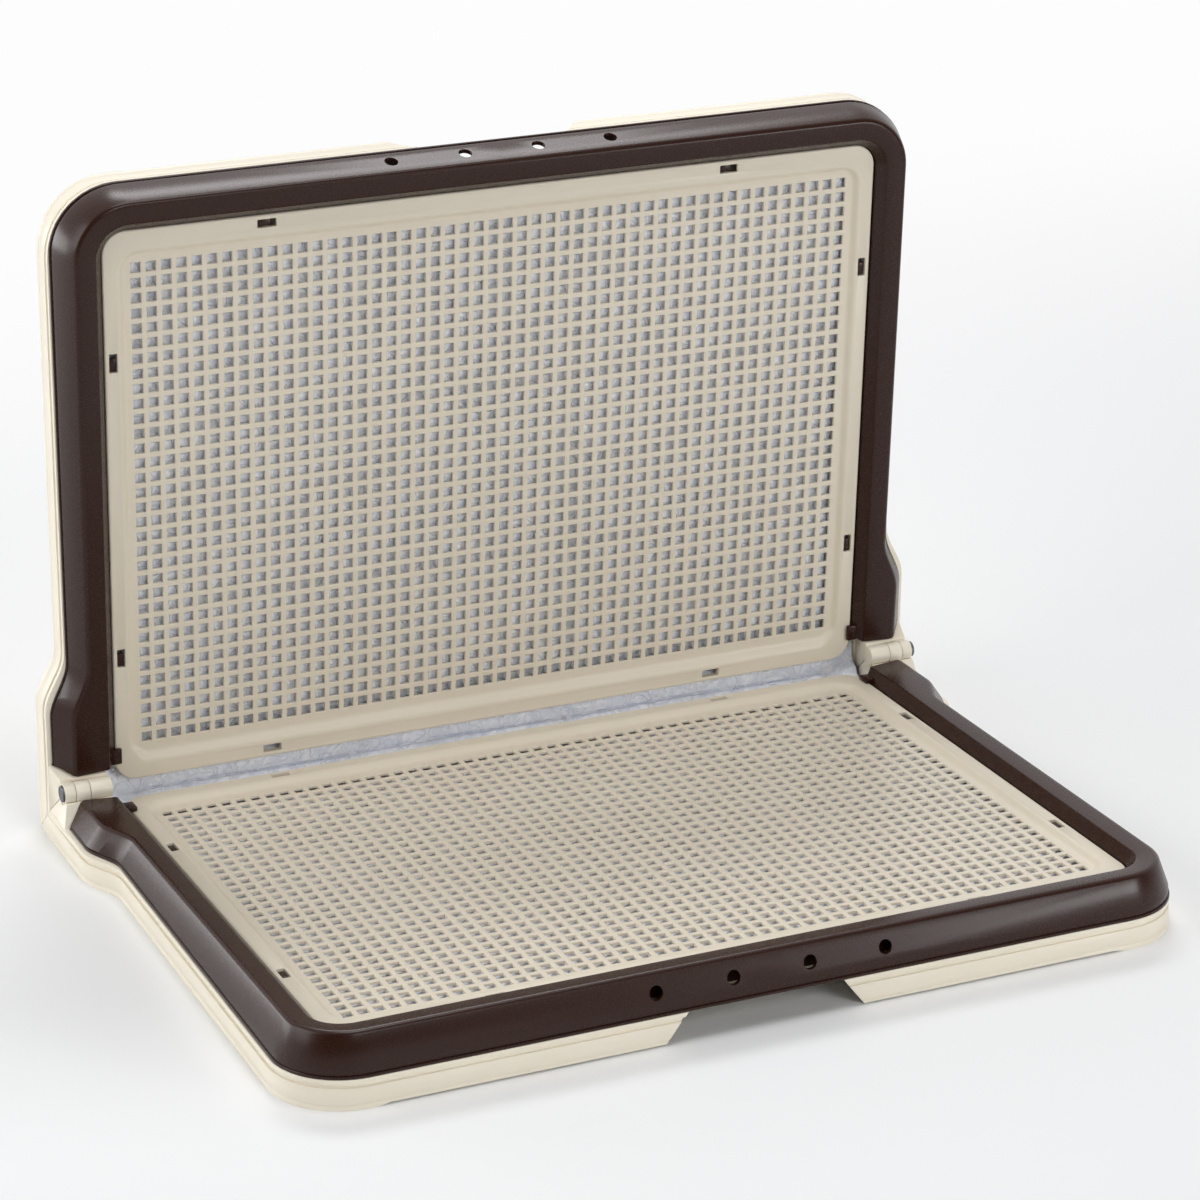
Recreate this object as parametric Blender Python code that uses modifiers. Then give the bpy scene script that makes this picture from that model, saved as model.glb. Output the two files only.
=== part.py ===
"""Folding potty pad tray for a dog, standing open like a book.

Two cream bases are joined by a pin hinge. Each base holds one leg of an absorbent pad, a cream
grille over it and a brown frame that clips the grille down. Each half is a thin wedge: its grille
leans a little against the outside of its base, so the halves close flat on each other.

Every half is modelled in the same local frame: x along the hinge, v away from the hinge along the
base, w out of the open face, with the hinge pin's axis at v = w = 0. An empty on the pin's axis
then lays the lower half down and stands the upper half up.
"""

import math

import bmesh
import bpy
from mathutils import Matrix, Vector

# Clearances
TOUCH_GAP = 0.0003          # between pieces that rest on each other
MITRE_GAP = 0.00015         # each half keeps this off the plane where the open halves meet
CUT_OVERRUN = 0.002         # how far a cutter runs past what it cuts
SINK = 0.001                # how far a joined block sinks into what carries it
BLOCK_STEP = 0.0002         # a joined block stays this far inside the face beside it

# Corner of the base at its foot, which sets the corners inside it
BASE_CORNER = 0.036

# Hole field of the grille, which sets the widths and lengths of everything round it
CELL_PITCH = 0.0080         # one hole and one bar of the real grille
CELL_COLUMNS = 50
CELL_ROWS = 33
BAR_WIDTH = 0.0027
FIELD_START = 0.01435       # from the pin's axis to the field, along the grille
HALF_FIELD_WIDTH = CELL_PITCH * CELL_COLUMNS / 2
HALF_FIELD_LENGTH = CELL_PITCH * CELL_ROWS / 2
FIELD_MIDDLE = FIELD_START + HALF_FIELD_LENGTH
NET_COLUMNS = 15            # the solid holds this coarser net in the same field
NET_ROWS = 10

# Grille
GRILLE_THICKNESS = 0.0025
FIELD_MARGIN = 0.0024       # flat border round the bars, at the sides and the front
FIELD_MARGIN_REAR = 0.0062
FIELD_CORNER = 0.006
RIM_RAISE = 0.0028          # the rim stands above the hole field
RIM_SLOPE_WIDTH = 0.0034
RIM_SIDE_WIDTH = 0.0082     # flat top of the rim
RIM_FRONT_WIDTH = 0.01085
RIM_REAR_WIDTH = 0.00825
GRILLE_SIDE = HALF_FIELD_WIDTH + FIELD_MARGIN + RIM_SLOPE_WIDTH + RIM_SIDE_WIDTH
GRILLE_REAR = FIELD_START - FIELD_MARGIN_REAR - RIM_SLOPE_WIDTH - RIM_REAR_WIDTH
GRILLE_FRONT = FIELD_MIDDLE + HALF_FIELD_LENGTH + FIELD_MARGIN + RIM_SLOPE_WIDTH + RIM_FRONT_WIDTH
GRILLE_CORNER_INSET = 0.024
GRILLE_CORNER = BASE_CORNER - GRILLE_CORNER_INSET
SLOT_LENGTH = 0.0100
SLOT_WIDTH = 0.0042
SLOT_FROM_EDGE = 0.0045     # middle of a slot to the grille's outer edge
SLOT_FROM_FIELD_END = 0.0517    # middle of a side slot, in from the end of the field
SLOT_FROM_FIELD_SIDE = 0.0721   # middle of an end slot, in from the side of the field

# Pad
PAD_THICKNESS = 0.0030
PAD_SIDE_REACH = 0.0050     # the pad reaches this far out past the grille
PAD_HALF_WIDTH = GRILLE_SIDE + PAD_SIDE_REACH
PAD_END_INSET = 0.0106      # pad's end to the grille's front, so that the flat pad is 0.600 long
BEND_CENTRE = 0.0083        # centre of the pad's bend, behind and below the pin's axis

# Pan inside the base
PAN_DROP = 0.0185           # pan floor below the closing plane
PAN_SIDE_ROOM = 0.0010      # beside the pad
PAN_FRONT_REACH = 0.0060    # the pan reaches this far past the grille's front
PAN_SIDE = PAD_HALF_WIDTH + PAN_SIDE_ROOM
PAN_FRONT = GRILLE_FRONT + PAN_FRONT_REACH
PAN_CORNER_INSET = 0.018
PAN_CORNER = BASE_CORNER - PAN_CORNER_INSET
PAN_WALL_HEIGHT = 0.0029
PAN_WALL_DRAFT = 0.0008
PAN_RIM_WIDTH = 0.0025
PAN_RIM_DRAFT = 0.0012

# Base: outside sizes at its foot
FRAME_WIDTH = 0.0203        # foot of the frame, from the grille outwards
FRAME_WIDTH_FRONT = 0.0215
FRAME_SIDE = GRILLE_SIDE + FRAME_WIDTH
FRAME_FRONT = GRILLE_FRONT + FRAME_WIDTH_FRONT
LEDGE_SIDE = 0.0040         # the base reaches this far past the frame
LEDGE_FRONT = 0.0003
BASE_SIDE = FRAME_SIDE + LEDGE_SIDE     # half the width on the straight run
BASE_FRONT = FRAME_FRONT + LEDGE_FRONT  # from the pin's axis to the front
TILT = math.radians(1.72)   # lean of the grille against the base
SHOULDER_BASE = 0.0110      # the base steps out this much beside the hinge
SHOULDER_REAR = 0.040       # full width up to here
SHOULDER_FRONT = 0.070      # straight run from here on
LEDGE_RISE = 0.0034         # ledge that carries the frame, above the pan floor at the hinge
LEDGE_DROP = PAN_DROP - LEDGE_RISE
LEDGE_SIDE_INSET = 0.0007
LEDGE_FRONT_INSET = 0.0001
LEDGE_BAND = 0.0023         # upright band under the ledge
GROOVE_HEIGHT = 0.0022
GROOVE_DEPTH = 0.0013
SKIRT_HEIGHT = 0.0156       # from the foot up to the ledge
SKIRT_DRAFT = 0.0005
AXIS_HEIGHT = LEDGE_DROP + SKIRT_HEIGHT     # from the foot of the base to the pin's axis
BASE_WALL = 0.0020
FOOT_LIFT = 0.0010          # the front of the skirt stands this far off the floor
FOOT_LIFT_START = 0.0053    # the lift starts this far in from the corner
FOOT_LIFT_RUN = 0.006       # and is full after this run
FOOT_LIFT_OUTER = BASE_SIDE - BASE_CORNER - FOOT_LIFT_START
FOOT_LIFT_INNER = FOOT_LIFT_OUTER - FOOT_LIFT_RUN

# Finger recess in the front of the base
RECESS_TOP_HALF = 0.041
RECESS_FLARE = 0.012        # it widens this much towards the foot, on each side
RECESS_DEPTH = 0.0108

# Frame
FRAME_WALL = 0.0020
FRAME_CORNER_INSET = 0.0025
FRAME_CORNER = BASE_CORNER - FRAME_CORNER_INSET
SHOULDER_FRAME = 0.0123
FRAME_FLANGE_HEIGHT = 0.0014
FRAME_FLANGE_STEP = 0.0007
CREST_DROP = 0.0027         # crest below the closing plane
CREST_INSET = 0.0051        # the outer wall leans in this much from foot to crest
CREST_ROUND = 0.0032
SHOULDER_CREST = 0.0100
CREST_TO_LIP_DROP = 0.0035
LIP_LEAN = 0.0008           # the inner wall leans out this much from foot to lip
LIP_ROUND = 0.0018
FRAME_TO_GRILLE = 0.0007
FRAME_END_CREST = 0.0065    # end of the frame beside the hinge, at the crest
FRAME_END_LEAN = 0.0040     # and its foot stands this much further from the hinge
PEEP_RADIUS = 0.0035
PEEP_BELOW_CREST = 0.0096
PEEP_PITCH = 0.0403
PEEP_COUNT = 4
TAB_REACH = 0.0062          # a tab reaches this far over the grille's rim
TAB_LENGTH = 0.0090
TAB_FROM_END = 0.0030       # from the frame's end at the crest to the tab
TAB_THICKNESS = 0.0024

# Hinge
KNUCKLE_RADIUS = 0.0054
KNUCKLE_CLEARANCE = 0.0004
KNUCKLE_FROM_PAN = 0.0006   # the inner knuckle starts this far outside the pan
KNUCKLE_REACH = 0.0075      # the outer knuckle ends this far outside the straight run
MIDDLE_KNUCKLE = 0.0078     # lengths of the middle and outer knuckles
OUTER_KNUCKLE = 0.0058
KNUCKLE_INNER = PAN_SIDE + KNUCKLE_FROM_PAN
KNUCKLE_OUTER = BASE_SIDE + KNUCKLE_REACH
KNUCKLE_SPLIT_OUTER = KNUCKLE_OUTER - OUTER_KNUCKLE
KNUCKLE_SPLIT_INNER = KNUCKLE_SPLIT_OUTER - MIDDLE_KNUCKLE
BLOCK_INSET = 0.0006        # the cheek's inner face, outside the knuckle's
BLOCK_TOP_DROP = 0.0036
PIN_RADIUS = 0.0024
PIN_CLEARANCE = 0.00015
PIN_HEAD_RADIUS = 0.0043
PIN_HEAD_LENGTH = 0.0022
PIN_HEAD_CHAMFER = 0.0005
PIN_HEAD_SINK = 0.0014      # depth of the head's seat in the outer knuckle
PIN_END_WALL = 0.0016       # plastic left before the blind end of the pin's bore
PIN_FOOT = KNUCKLE_INNER + PIN_END_WALL

# Mesh steps
SHOULDER_STEPS = 8
CORNER_STEPS = 9
ROUND_STEPS = 3
CIRCLE_STEPS = 32
BEND_STEPS = 10
GRILLE_CORNER_STEPS = 6

# Levels that several pieces share, along the tilted closing plane's normal
PAD_BOTTOM = -PAN_DROP + TOUCH_GAP
PAD_TOP = PAD_BOTTOM + PAD_THICKNESS
GRILLE_BOTTOM = PAD_TOP + TOUCH_GAP
FIELD_TOP = GRILLE_BOTTOM + GRILLE_THICKNESS
RIM_TOP = FIELD_TOP + RIM_RAISE

# Place of the pin's axis, with the tray's box centred on the origin and its foot on the floor
AXIS_PLACE = Vector((0.0, (BASE_FRONT - AXIS_HEIGHT) / 2, AXIS_HEIGHT))

# Colours of the solids
CREAM = (0.90, 0.84, 0.70, 1.0)
GRILLE_CREAM = (0.70, 0.63, 0.48, 1.0)
BROWN = (0.045, 0.020, 0.016, 1.0)
PAD_WHITE = (0.80, 0.83, 0.90, 1.0)
PIN_GREY = (0.10, 0.10, 0.10, 1.0)


# Scene, collections and materials

def clear_scene():
    for old in list(bpy.data.objects):
        bpy.data.objects.remove(old, do_unlink=True)


def new_collection(name):
    collection = bpy.data.collections.new(name)
    bpy.context.scene.collection.children.link(collection)
    return collection


def new_material(name, colour, roughness, metallic=0.0):
    material = bpy.data.materials.new(name)
    material.use_nodes = True
    shader = material.node_tree.nodes["Principled BSDF"]
    shader.inputs["Base Color"].default_value = colour
    shader.inputs["Roughness"].default_value = roughness
    shader.inputs["Metallic"].default_value = metallic
    return material


def new_object(name, mesh, collection, material=None, parent=None):
    item = bpy.data.objects.new(name, mesh)
    collection.objects.link(item)
    if material:
        mesh.materials.append(material)
    item.parent = parent
    return item


def mesh_from_bmesh(name, bm):
    bmesh.ops.remove_doubles(bm, verts=bm.verts, dist=TOUCH_GAP / 10)
    bmesh.ops.recalc_face_normals(bm, faces=bm.faces)
    mesh = bpy.data.meshes.new(name)
    bm.to_mesh(mesh)
    bm.free()
    return mesh


def as_cutter(item):
    item.hide_render = True
    item.display_type = "WIRE"
    return item


def boolean(item, other, operation):
    step = item.modifiers.new(other.name, "BOOLEAN")
    step.operation = operation
    step.solver = "EXACT"
    step.object = other


# Lines and levels

def level_on_tilt(height, v):
    """Height w of the tilted plane that lies `height` out of the closing plane."""
    return height / math.cos(TILT) + v * math.tan(TILT)


def mitre(w):
    """Place v on this half's side of the plane where the two open halves meet."""
    return w + MITRE_GAP * math.sqrt(2)


def mitre_on_tilt(height):
    """Place v where a tilted plane meets the mitre."""
    return (height / math.cos(TILT) + MITRE_GAP * math.sqrt(2)) / (1 - math.tan(TILT))


def shoulder_share(v):
    """One beside the hinge, zero on the straight run, with a smooth S between."""
    share = (SHOULDER_FRONT - v) / (SHOULDER_FRONT - SHOULDER_REAR)
    share = min(max(share, 0), 1)
    return share * share * (3 - 2 * share)


def run_round(side, front, corner, shoulder, rear):
    """Points (x, v) from the right rear end round the front to the left rear end."""
    right = [(side + shoulder, rear)]
    for step in range(SHOULDER_STEPS + 1):
        v = SHOULDER_REAR + (SHOULDER_FRONT - SHOULDER_REAR) * step / SHOULDER_STEPS
        right.append((side + shoulder * shoulder_share(v), v))
    for step in range(CORNER_STEPS + 1):
        angle = math.pi / 2 * step / CORNER_STEPS
        x = side - corner + corner * math.cos(angle)
        right.append((x, front - corner + corner * math.sin(angle)))
    right.append((FOOT_LIFT_OUTER, front))
    right.append((FOOT_LIFT_INNER, front))
    return right + [(-x, v) for x, v in reversed(right)]


def raise_ring(points, level):
    """Give each point of a line (x, v) its height from level(x, v)."""
    return [Vector((x, v, level(x, v))) for x, v in points]


def flat(w):
    return lambda x, v: w


def tilted(height):
    return lambda x, v: level_on_tilt(height, v)


def loft(bm, rings, closed):
    """Faces between neighbouring rings of equally many points."""
    rows = [[bm.verts.new(point) for point in ring] for ring in rings]
    for near, far in zip(rows, rows[1:]):
        count = len(near)
        last = count if closed else count - 1
        for index in range(last):
            after = (index + 1) % count
            bm.faces.new((near[index], near[after], far[after], far[index]))
    return rows


# Base

def foot_level(x, v):
    """Foot of the skirt, lifted a little along the front."""
    share = (FOOT_LIFT_OUTER - abs(x)) / (FOOT_LIFT_OUTER - FOOT_LIFT_INNER)
    share = min(max(share, 0), 1) if v > BASE_FRONT - BASE_CORNER else 0
    return -AXIS_HEIGHT + FOOT_LIFT * share


def base_ring(side, front, corner, shoulder, level, rear, rear_corner):
    """One closed ring of the base, whose rear edge runs through the two rear corner points."""
    ring = raise_ring(run_round(side, front, corner, shoulder, rear), level)
    x, v, w = rear_corner
    return ring + [Vector((-x, v, w)), Vector((x, v, w))]


def base_shell():
    """Pan, ledge, skirt and the hollow below, as one closed loft of rings."""
    pan_corner = (PAN_SIDE, mitre_on_tilt(-PAN_DROP), level_on_tilt(-PAN_DROP, mitre_on_tilt(-PAN_DROP)))
    foot_corner = (PAN_SIDE, mitre(-AXIS_HEIGHT), -AXIS_HEIGHT)
    rim_height = -PAN_DROP + PAN_WALL_HEIGHT
    wall_side = PAN_SIDE + PAN_WALL_DRAFT
    wall_front = PAN_FRONT + PAN_WALL_DRAFT
    rim_side = wall_side + PAN_RIM_WIDTH
    rim_front = wall_front + PAN_RIM_WIDTH
    rim_corner = PAN_CORNER + PAN_RIM_WIDTH
    band_side = BASE_SIDE - LEDGE_SIDE_INSET
    band_front = BASE_FRONT - LEDGE_FRONT_INSET
    band_foot = -LEDGE_DROP - LEDGE_BAND
    groove_foot = band_foot - GROOVE_HEIGHT
    skirt_side = BASE_SIDE - SKIRT_DRAFT
    skirt_front = BASE_FRONT - SKIRT_DRAFT
    corner = BASE_CORNER

    def groove(level):
        """The groove runs out towards the mitre, so its ring meets the band there."""
        ring = base_ring(band_side, band_front, corner, SHOULDER_BASE, flat(level), mitre(level), pan_corner)
        for point in ring[1:-3]:
            outward = Vector((point.x, point.y - BASE_FRONT / 2, 0)).normalized()
            if abs(point.x) > band_side - corner and point.y < BASE_FRONT - corner:
                outward = Vector((math.copysign(1, point.x), 0, 0))
            elif abs(point.x) <= band_side - corner:
                outward = Vector((0, 1, 0))
            else:
                middle = Vector((math.copysign(band_side - corner, point.x), band_front - corner, level))
                outward = (point - middle).normalized()
            point -= outward * GROOVE_DEPTH
        return ring

    inner_drop = LEDGE_DROP + BASE_WALL
    inner_rear = BASE_WALL * math.sqrt(2)
    under_height = -PAN_DROP - BASE_WALL
    under_rear = (under_height / math.cos(TILT) + inner_rear) / (1 - math.tan(TILT))
    under_side = PAN_SIDE - PAN_WALL_DRAFT
    under_front = PAN_FRONT - PAN_WALL_DRAFT
    under_corner = (under_side, under_rear, level_on_tilt(under_height, under_rear))
    inner_foot_corner = (under_side, mitre(-AXIS_HEIGHT) + inner_rear, -AXIS_HEIGHT)
    skirt_inner_side = BASE_SIDE - BASE_WALL
    skirt_inner_front = BASE_FRONT - BASE_WALL
    ledge_inner_side = band_side - GROOVE_DEPTH - BASE_WALL
    ledge_inner_front = band_front - GROOVE_DEPTH - BASE_WALL
    root_side = rim_side - BASE_WALL / 2
    root_front = rim_front - BASE_WALL / 2

    rings = [
        base_ring(PAN_SIDE, PAN_FRONT, PAN_CORNER, 0, tilted(-PAN_DROP), pan_corner[1], pan_corner),
        base_ring(wall_side, wall_front, PAN_CORNER, 0, tilted(rim_height), mitre_on_tilt(rim_height),
                  pan_corner),
        base_ring(rim_side, rim_front, rim_corner, 0, tilted(rim_height), mitre_on_tilt(rim_height),
                  pan_corner),
        base_ring(rim_side + PAN_RIM_DRAFT, rim_front + PAN_RIM_DRAFT, rim_corner + PAN_RIM_DRAFT, 0,
                  flat(-LEDGE_DROP), mitre(-LEDGE_DROP), pan_corner),
        base_ring(band_side, band_front, corner, SHOULDER_BASE, flat(-LEDGE_DROP), mitre(-LEDGE_DROP),
                  pan_corner),
        base_ring(band_side, band_front, corner, SHOULDER_BASE, flat(band_foot), mitre(band_foot),
                  pan_corner),
        groove(band_foot),
        groove(groove_foot),
        base_ring(skirt_side, skirt_front, corner, SHOULDER_BASE, flat(groove_foot), mitre(groove_foot),
                  pan_corner),
        base_ring(BASE_SIDE, BASE_FRONT, corner, SHOULDER_BASE, foot_level, mitre(-AXIS_HEIGHT), foot_corner),
        base_ring(skirt_inner_side, skirt_inner_front, corner - BASE_WALL, SHOULDER_BASE, foot_level,
                  mitre(-AXIS_HEIGHT) + inner_rear, inner_foot_corner),
        base_ring(ledge_inner_side, ledge_inner_front, corner - BASE_WALL, SHOULDER_BASE, flat(-inner_drop),
                  mitre(-inner_drop) + inner_rear, under_corner),
        base_ring(root_side, root_front, rim_corner, 0, flat(-inner_drop), mitre(-inner_drop) + inner_rear,
                  under_corner),
        base_ring(under_side, under_front, PAN_CORNER, 0, tilted(under_height), under_rear, under_corner),
    ]
    bm = bmesh.new()
    rows = loft(bm, rings, closed=True)
    bm.faces.new(rows[0])
    bm.faces.new(rows[-1])
    return mesh_from_bmesh("base_shell", bm)


def add_prism(bm, outline, place_near, place_far):
    """Solid between two copies of an outline, set by the two place functions."""
    near = [bm.verts.new(place_near(*point)) for point in outline]
    far = [bm.verts.new(place_far(*point)) for point in outline]
    bm.faces.new(near)
    bm.faces.new(far)
    for index in range(len(outline)):
        after = (index + 1) % len(outline)
        bm.faces.new((near[index], near[after], far[after], far[index]))


def hinge_blocks():
    """The two cheeks that carry the knuckles, between the frame's ends and the mitre."""
    frame_rise = LEDGE_DROP - BLOCK_TOP_DROP
    front_foot = frame_end(-LEDGE_DROP) - 2 * TOUCH_GAP
    front_top = frame_end(-BLOCK_TOP_DROP) - 2 * TOUCH_GAP
    step = BLOCK_STEP
    outline = [
        (mitre(-LEDGE_DROP) + step, -LEDGE_DROP),
        (mitre(-LEDGE_DROP) + 2 * SINK, -LEDGE_DROP - SINK),
        (front_foot - SINK, -LEDGE_DROP - SINK),
        (front_foot, -LEDGE_DROP),
        (front_top, -BLOCK_TOP_DROP),
        (mitre(-BLOCK_TOP_DROP) + step, -BLOCK_TOP_DROP),
    ]
    foot_x = BASE_SIDE + SHOULDER_BASE - LEDGE_SIDE_INSET - step
    slope = (foot_x - KNUCKLE_OUTER) / frame_rise
    bm = bmesh.new()
    for side in (1, -1):
        add_prism(
            bm, outline,
            lambda v, w: Vector((side * (KNUCKLE_INNER + BLOCK_INSET), v, w)),
            lambda v, w: Vector((side * (foot_x - slope * (w + LEDGE_DROP)), v, w)))
    return mesh_from_bmesh("hinge_blocks", bm)


def add_bar(bm, radius, start, end):
    """Round bar along x, on the pin's axis."""
    turn = Matrix.Translation(((start + end) / 2, 0, 0)) @ Matrix.Rotation(math.pi / 2, 4, "Y")
    bmesh.ops.create_cone(bm, cap_ends=True, segments=CIRCLE_STEPS, radius1=radius, radius2=radius,
                          depth=end - start, matrix=turn)


def bars_both_sides(name, radius, spans):
    bm = bmesh.new()
    for start, end in spans:
        add_bar(bm, radius, start, end)
        add_bar(bm, radius, -end, -start)
    return mesh_from_bmesh(name, bm)


def recess_cutter():
    """Finger recess through the ledge and the skirt, wider at the foot."""
    top = -LEDGE_DROP + SINK
    foot = -AXIS_HEIGHT - CUT_OVERRUN
    spread = RECESS_FLARE / (AXIS_HEIGHT - LEDGE_DROP)
    top_half = RECESS_TOP_HALF - spread * SINK
    foot_half = RECESS_TOP_HALF + RECESS_FLARE + spread * CUT_OVERRUN
    outline = [(-top_half, top), (top_half, top), (foot_half, foot), (-foot_half, foot)]
    bm = bmesh.new()
    add_prism(bm, outline,
              lambda x, w: Vector((x, BASE_FRONT - RECESS_DEPTH, w)),
              lambda x, w: Vector((x, BASE_FRONT + CUT_OVERRUN, w)))
    return mesh_from_bmesh("recess_cutter", bm)


def knuckle_spans(upper):
    """Where this half's own knuckles stand, and the spaces left for the other half's."""
    half_gap = KNUCKLE_CLEARANCE / 2
    inner = (KNUCKLE_INNER, KNUCKLE_SPLIT_INNER - half_gap)
    middle = (KNUCKLE_SPLIT_INNER + half_gap, KNUCKLE_SPLIT_OUTER - half_gap)
    outer = (KNUCKLE_SPLIT_OUTER + half_gap, KNUCKLE_OUTER)
    near = half_gap - half_gap / 4
    inner_space = (KNUCKLE_INNER - SINK, KNUCKLE_SPLIT_INNER + near)
    middle_space = (KNUCKLE_SPLIT_INNER - near, KNUCKLE_SPLIT_OUTER + near)
    outer_space = (KNUCKLE_SPLIT_OUTER - near, KNUCKLE_OUTER + SINK + half_gap)
    if upper:
        return [inner, outer], [middle_space]
    return [middle], [inner_space, outer_space]


def build_base(name, parent, upper, collection, cutters, material):
    base = new_object(name, base_shell(), collection, material, parent)
    own, spaces = knuckle_spans(upper)
    bore_start = PIN_FOOT - TOUCH_GAP
    seat_start = KNUCKLE_OUTER - PIN_HEAD_SINK
    steps = [
        ("blocks", hinge_blocks(), "UNION"),
        ("knuckle_spaces", bars_both_sides("spaces", KNUCKLE_RADIUS + KNUCKLE_CLEARANCE, spaces),
         "DIFFERENCE"),
        ("knuckles", bars_both_sides("knuckles", KNUCKLE_RADIUS, own), "UNION"),
        ("pin_bores", bars_both_sides("bores", PIN_RADIUS + PIN_CLEARANCE,
                                      [(bore_start, KNUCKLE_OUTER + CUT_OVERRUN)]), "DIFFERENCE"),
        ("recess", recess_cutter(), "DIFFERENCE"),
    ]
    if upper:
        steps.append(("head_seats", bars_both_sides("seats", PIN_HEAD_RADIUS + 2 * PIN_CLEARANCE,
                                                    [(seat_start, KNUCKLE_OUTER + CUT_OVERRUN)]),
                      "DIFFERENCE"))
    for step_name, mesh, operation in steps:
        tool = as_cutter(new_object(f"{name}_{step_name}", mesh, cutters, None, parent))
        boolean(base, tool, operation)
    return base


# Frame

def frame_end(w):
    """Rear end of the frame, which leans back from the foot to the crest."""
    lean = FRAME_END_LEAN / (LEDGE_DROP - CREST_DROP)
    return FRAME_END_CREST - lean * (w + CREST_DROP)


def frame_ring(outline, shoulder, height, is_flat=False, set_back=0):
    """Open line of the frame at one height of its section, from one rear end to the other."""
    side, front, corner = outline
    points = run_round(side, front, corner, shoulder, frame_end(height) + set_back)
    return raise_ring(points, flat(height) if is_flat else tilted(height))


def shrunk(outline, inset):
    return tuple(size - inset for size in outline)


def frame_section():
    """Outer and inner lines of the hollow section, each from one foot over the crest to the other."""
    foot_w = -LEDGE_DROP + TOUCH_GAP
    flange_top = foot_w + FRAME_FLANGE_HEIGHT
    foot = (FRAME_SIDE, FRAME_FRONT, FRAME_CORNER)
    wall_foot = shrunk(foot, FRAME_FLANGE_STEP)
    crest = shrunk(foot, CREST_INSET)
    inner_foot = (GRILLE_SIDE + FRAME_TO_GRILLE, GRILLE_FRONT + FRAME_TO_GRILLE,
                  GRILLE_CORNER + FRAME_TO_GRILLE)
    lip = shrunk(inner_foot, -LIP_LEAN)
    lip_height = -CREST_DROP - CREST_TO_LIP_DROP

    outer = [
        frame_ring(foot, SHOULDER_FRAME, foot_w, True),
        frame_ring(foot, SHOULDER_FRAME, flange_top, True),
        frame_ring(wall_foot, SHOULDER_FRAME, flange_top, True),
    ]
    for step in range(ROUND_STEPS + 1):
        turn = math.pi / 2 * step / ROUND_STEPS
        inset = CREST_ROUND * (math.cos(math.pi / 4) - math.cos(turn))
        drop = CREST_ROUND * (1 - math.sin(turn))
        outer.append(frame_ring(shrunk(crest, inset), SHOULDER_CREST, -CREST_DROP - drop))
    for step in range(ROUND_STEPS):
        turn = math.pi / 2 * step / (ROUND_STEPS - 1)
        spread = LIP_ROUND * (1 - math.sin(turn))
        drop = LIP_ROUND * (1 - math.cos(turn))
        outer.append(frame_ring(shrunk(lip, -spread), 0, lip_height - drop))
    outer.append(frame_ring(inner_foot, 0, GRILLE_BOTTOM))

    inner_crest = shrunk(crest, FRAME_WALL)
    inner = [
        frame_ring(shrunk(inner_foot, -FRAME_WALL), 0, GRILLE_BOTTOM, set_back=FRAME_WALL),
        frame_ring(shrunk(lip, -FRAME_WALL), 0, lip_height - FRAME_WALL, set_back=FRAME_WALL),
        frame_ring(inner_crest, SHOULDER_CREST, -CREST_DROP - FRAME_WALL, set_back=FRAME_WALL),
        frame_ring(inner_crest, SHOULDER_CREST, -CREST_DROP - FRAME_WALL - CREST_ROUND, set_back=FRAME_WALL),
        frame_ring(shrunk(wall_foot, FRAME_WALL), SHOULDER_FRAME, foot_w, True, FRAME_WALL),
    ]
    return outer, inner


def frame_shell():
    """Hollow U-shaped rail, open underneath, with a closed wall at each end."""
    outer, inner = frame_section()
    bm = bmesh.new()
    rows = loft(bm, outer + inner + [outer[0]], closed=False)
    outer_count = len(outer)
    for end in (0, -1):
        outside = [row[end] for row in rows[:outer_count]]
        inside = [row[end] for row in rows[outer_count:-1]]
        bm.faces.new(outside)
        bm.faces.new(inside)
        bm.faces.new((outside[0], outside[-1], inside[0], inside[-1]))
    return mesh_from_bmesh("frame_shell", bm)


def add_box(bm, low, high):
    size = [b - a for a, b in zip(low, high)]
    middle = [(a + b) / 2 for a, b in zip(low, high)]
    place = Matrix.Translation(middle) @ Matrix.Diagonal((*size, 1))
    bmesh.ops.create_cube(bm, size=1, matrix=place)


def tabs():
    """Two small catches that reach over the grille's corners beside the hinge."""
    low_n = RIM_TOP + TOUCH_GAP
    outer_x = GRILLE_SIDE + FRAME_TO_GRILLE + FRAME_WALL / 2
    bm = bmesh.new()
    for side in (1, -1):
        xs = sorted((side * (GRILLE_SIDE + FRAME_TO_GRILLE - TAB_REACH), side * outer_x))
        start = FRAME_END_CREST + TAB_FROM_END
        add_box(bm, (xs[0], start, low_n), (xs[1], start + TAB_LENGTH, low_n + TAB_THICKNESS))
    bmesh.ops.rotate(bm, verts=bm.verts, matrix=Matrix.Rotation(TILT, 3, "X"))
    return mesh_from_bmesh("tabs", bm)


def peep_holes():
    """Round holes in the frame's front wall."""
    crest_w = level_on_tilt(-CREST_DROP, FRAME_FRONT - CREST_INSET)
    start = FRAME_FRONT - CREST_INSET - 2 * FRAME_WALL
    end = FRAME_FRONT + CUT_OVERRUN
    bm = bmesh.new()
    for index in range(PEEP_COUNT):
        x = (index - (PEEP_COUNT - 1) / 2) * PEEP_PITCH
        place = Matrix.Translation((x, (start + end) / 2, crest_w - PEEP_BELOW_CREST))
        bmesh.ops.create_cone(bm, cap_ends=True, segments=CIRCLE_STEPS // 2, radius1=PEEP_RADIUS,
                              radius2=PEEP_RADIUS, depth=end - start,
                              matrix=place @ Matrix.Rotation(math.pi / 2, 4, "X"))
    return mesh_from_bmesh("peep_holes", bm)


def build_frame(name, parent, collection, cutters, material):
    frame = new_object(name, frame_shell(), collection, material, parent)
    for step_name, mesh, operation in (("tabs", tabs(), "UNION"), ("peep_holes", peep_holes(), "DIFFERENCE")):
        tool = as_cutter(new_object(f"{name}_{step_name}", mesh, cutters, None, parent))
        boolean(frame, tool, operation)
    return frame


# Grille

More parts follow.
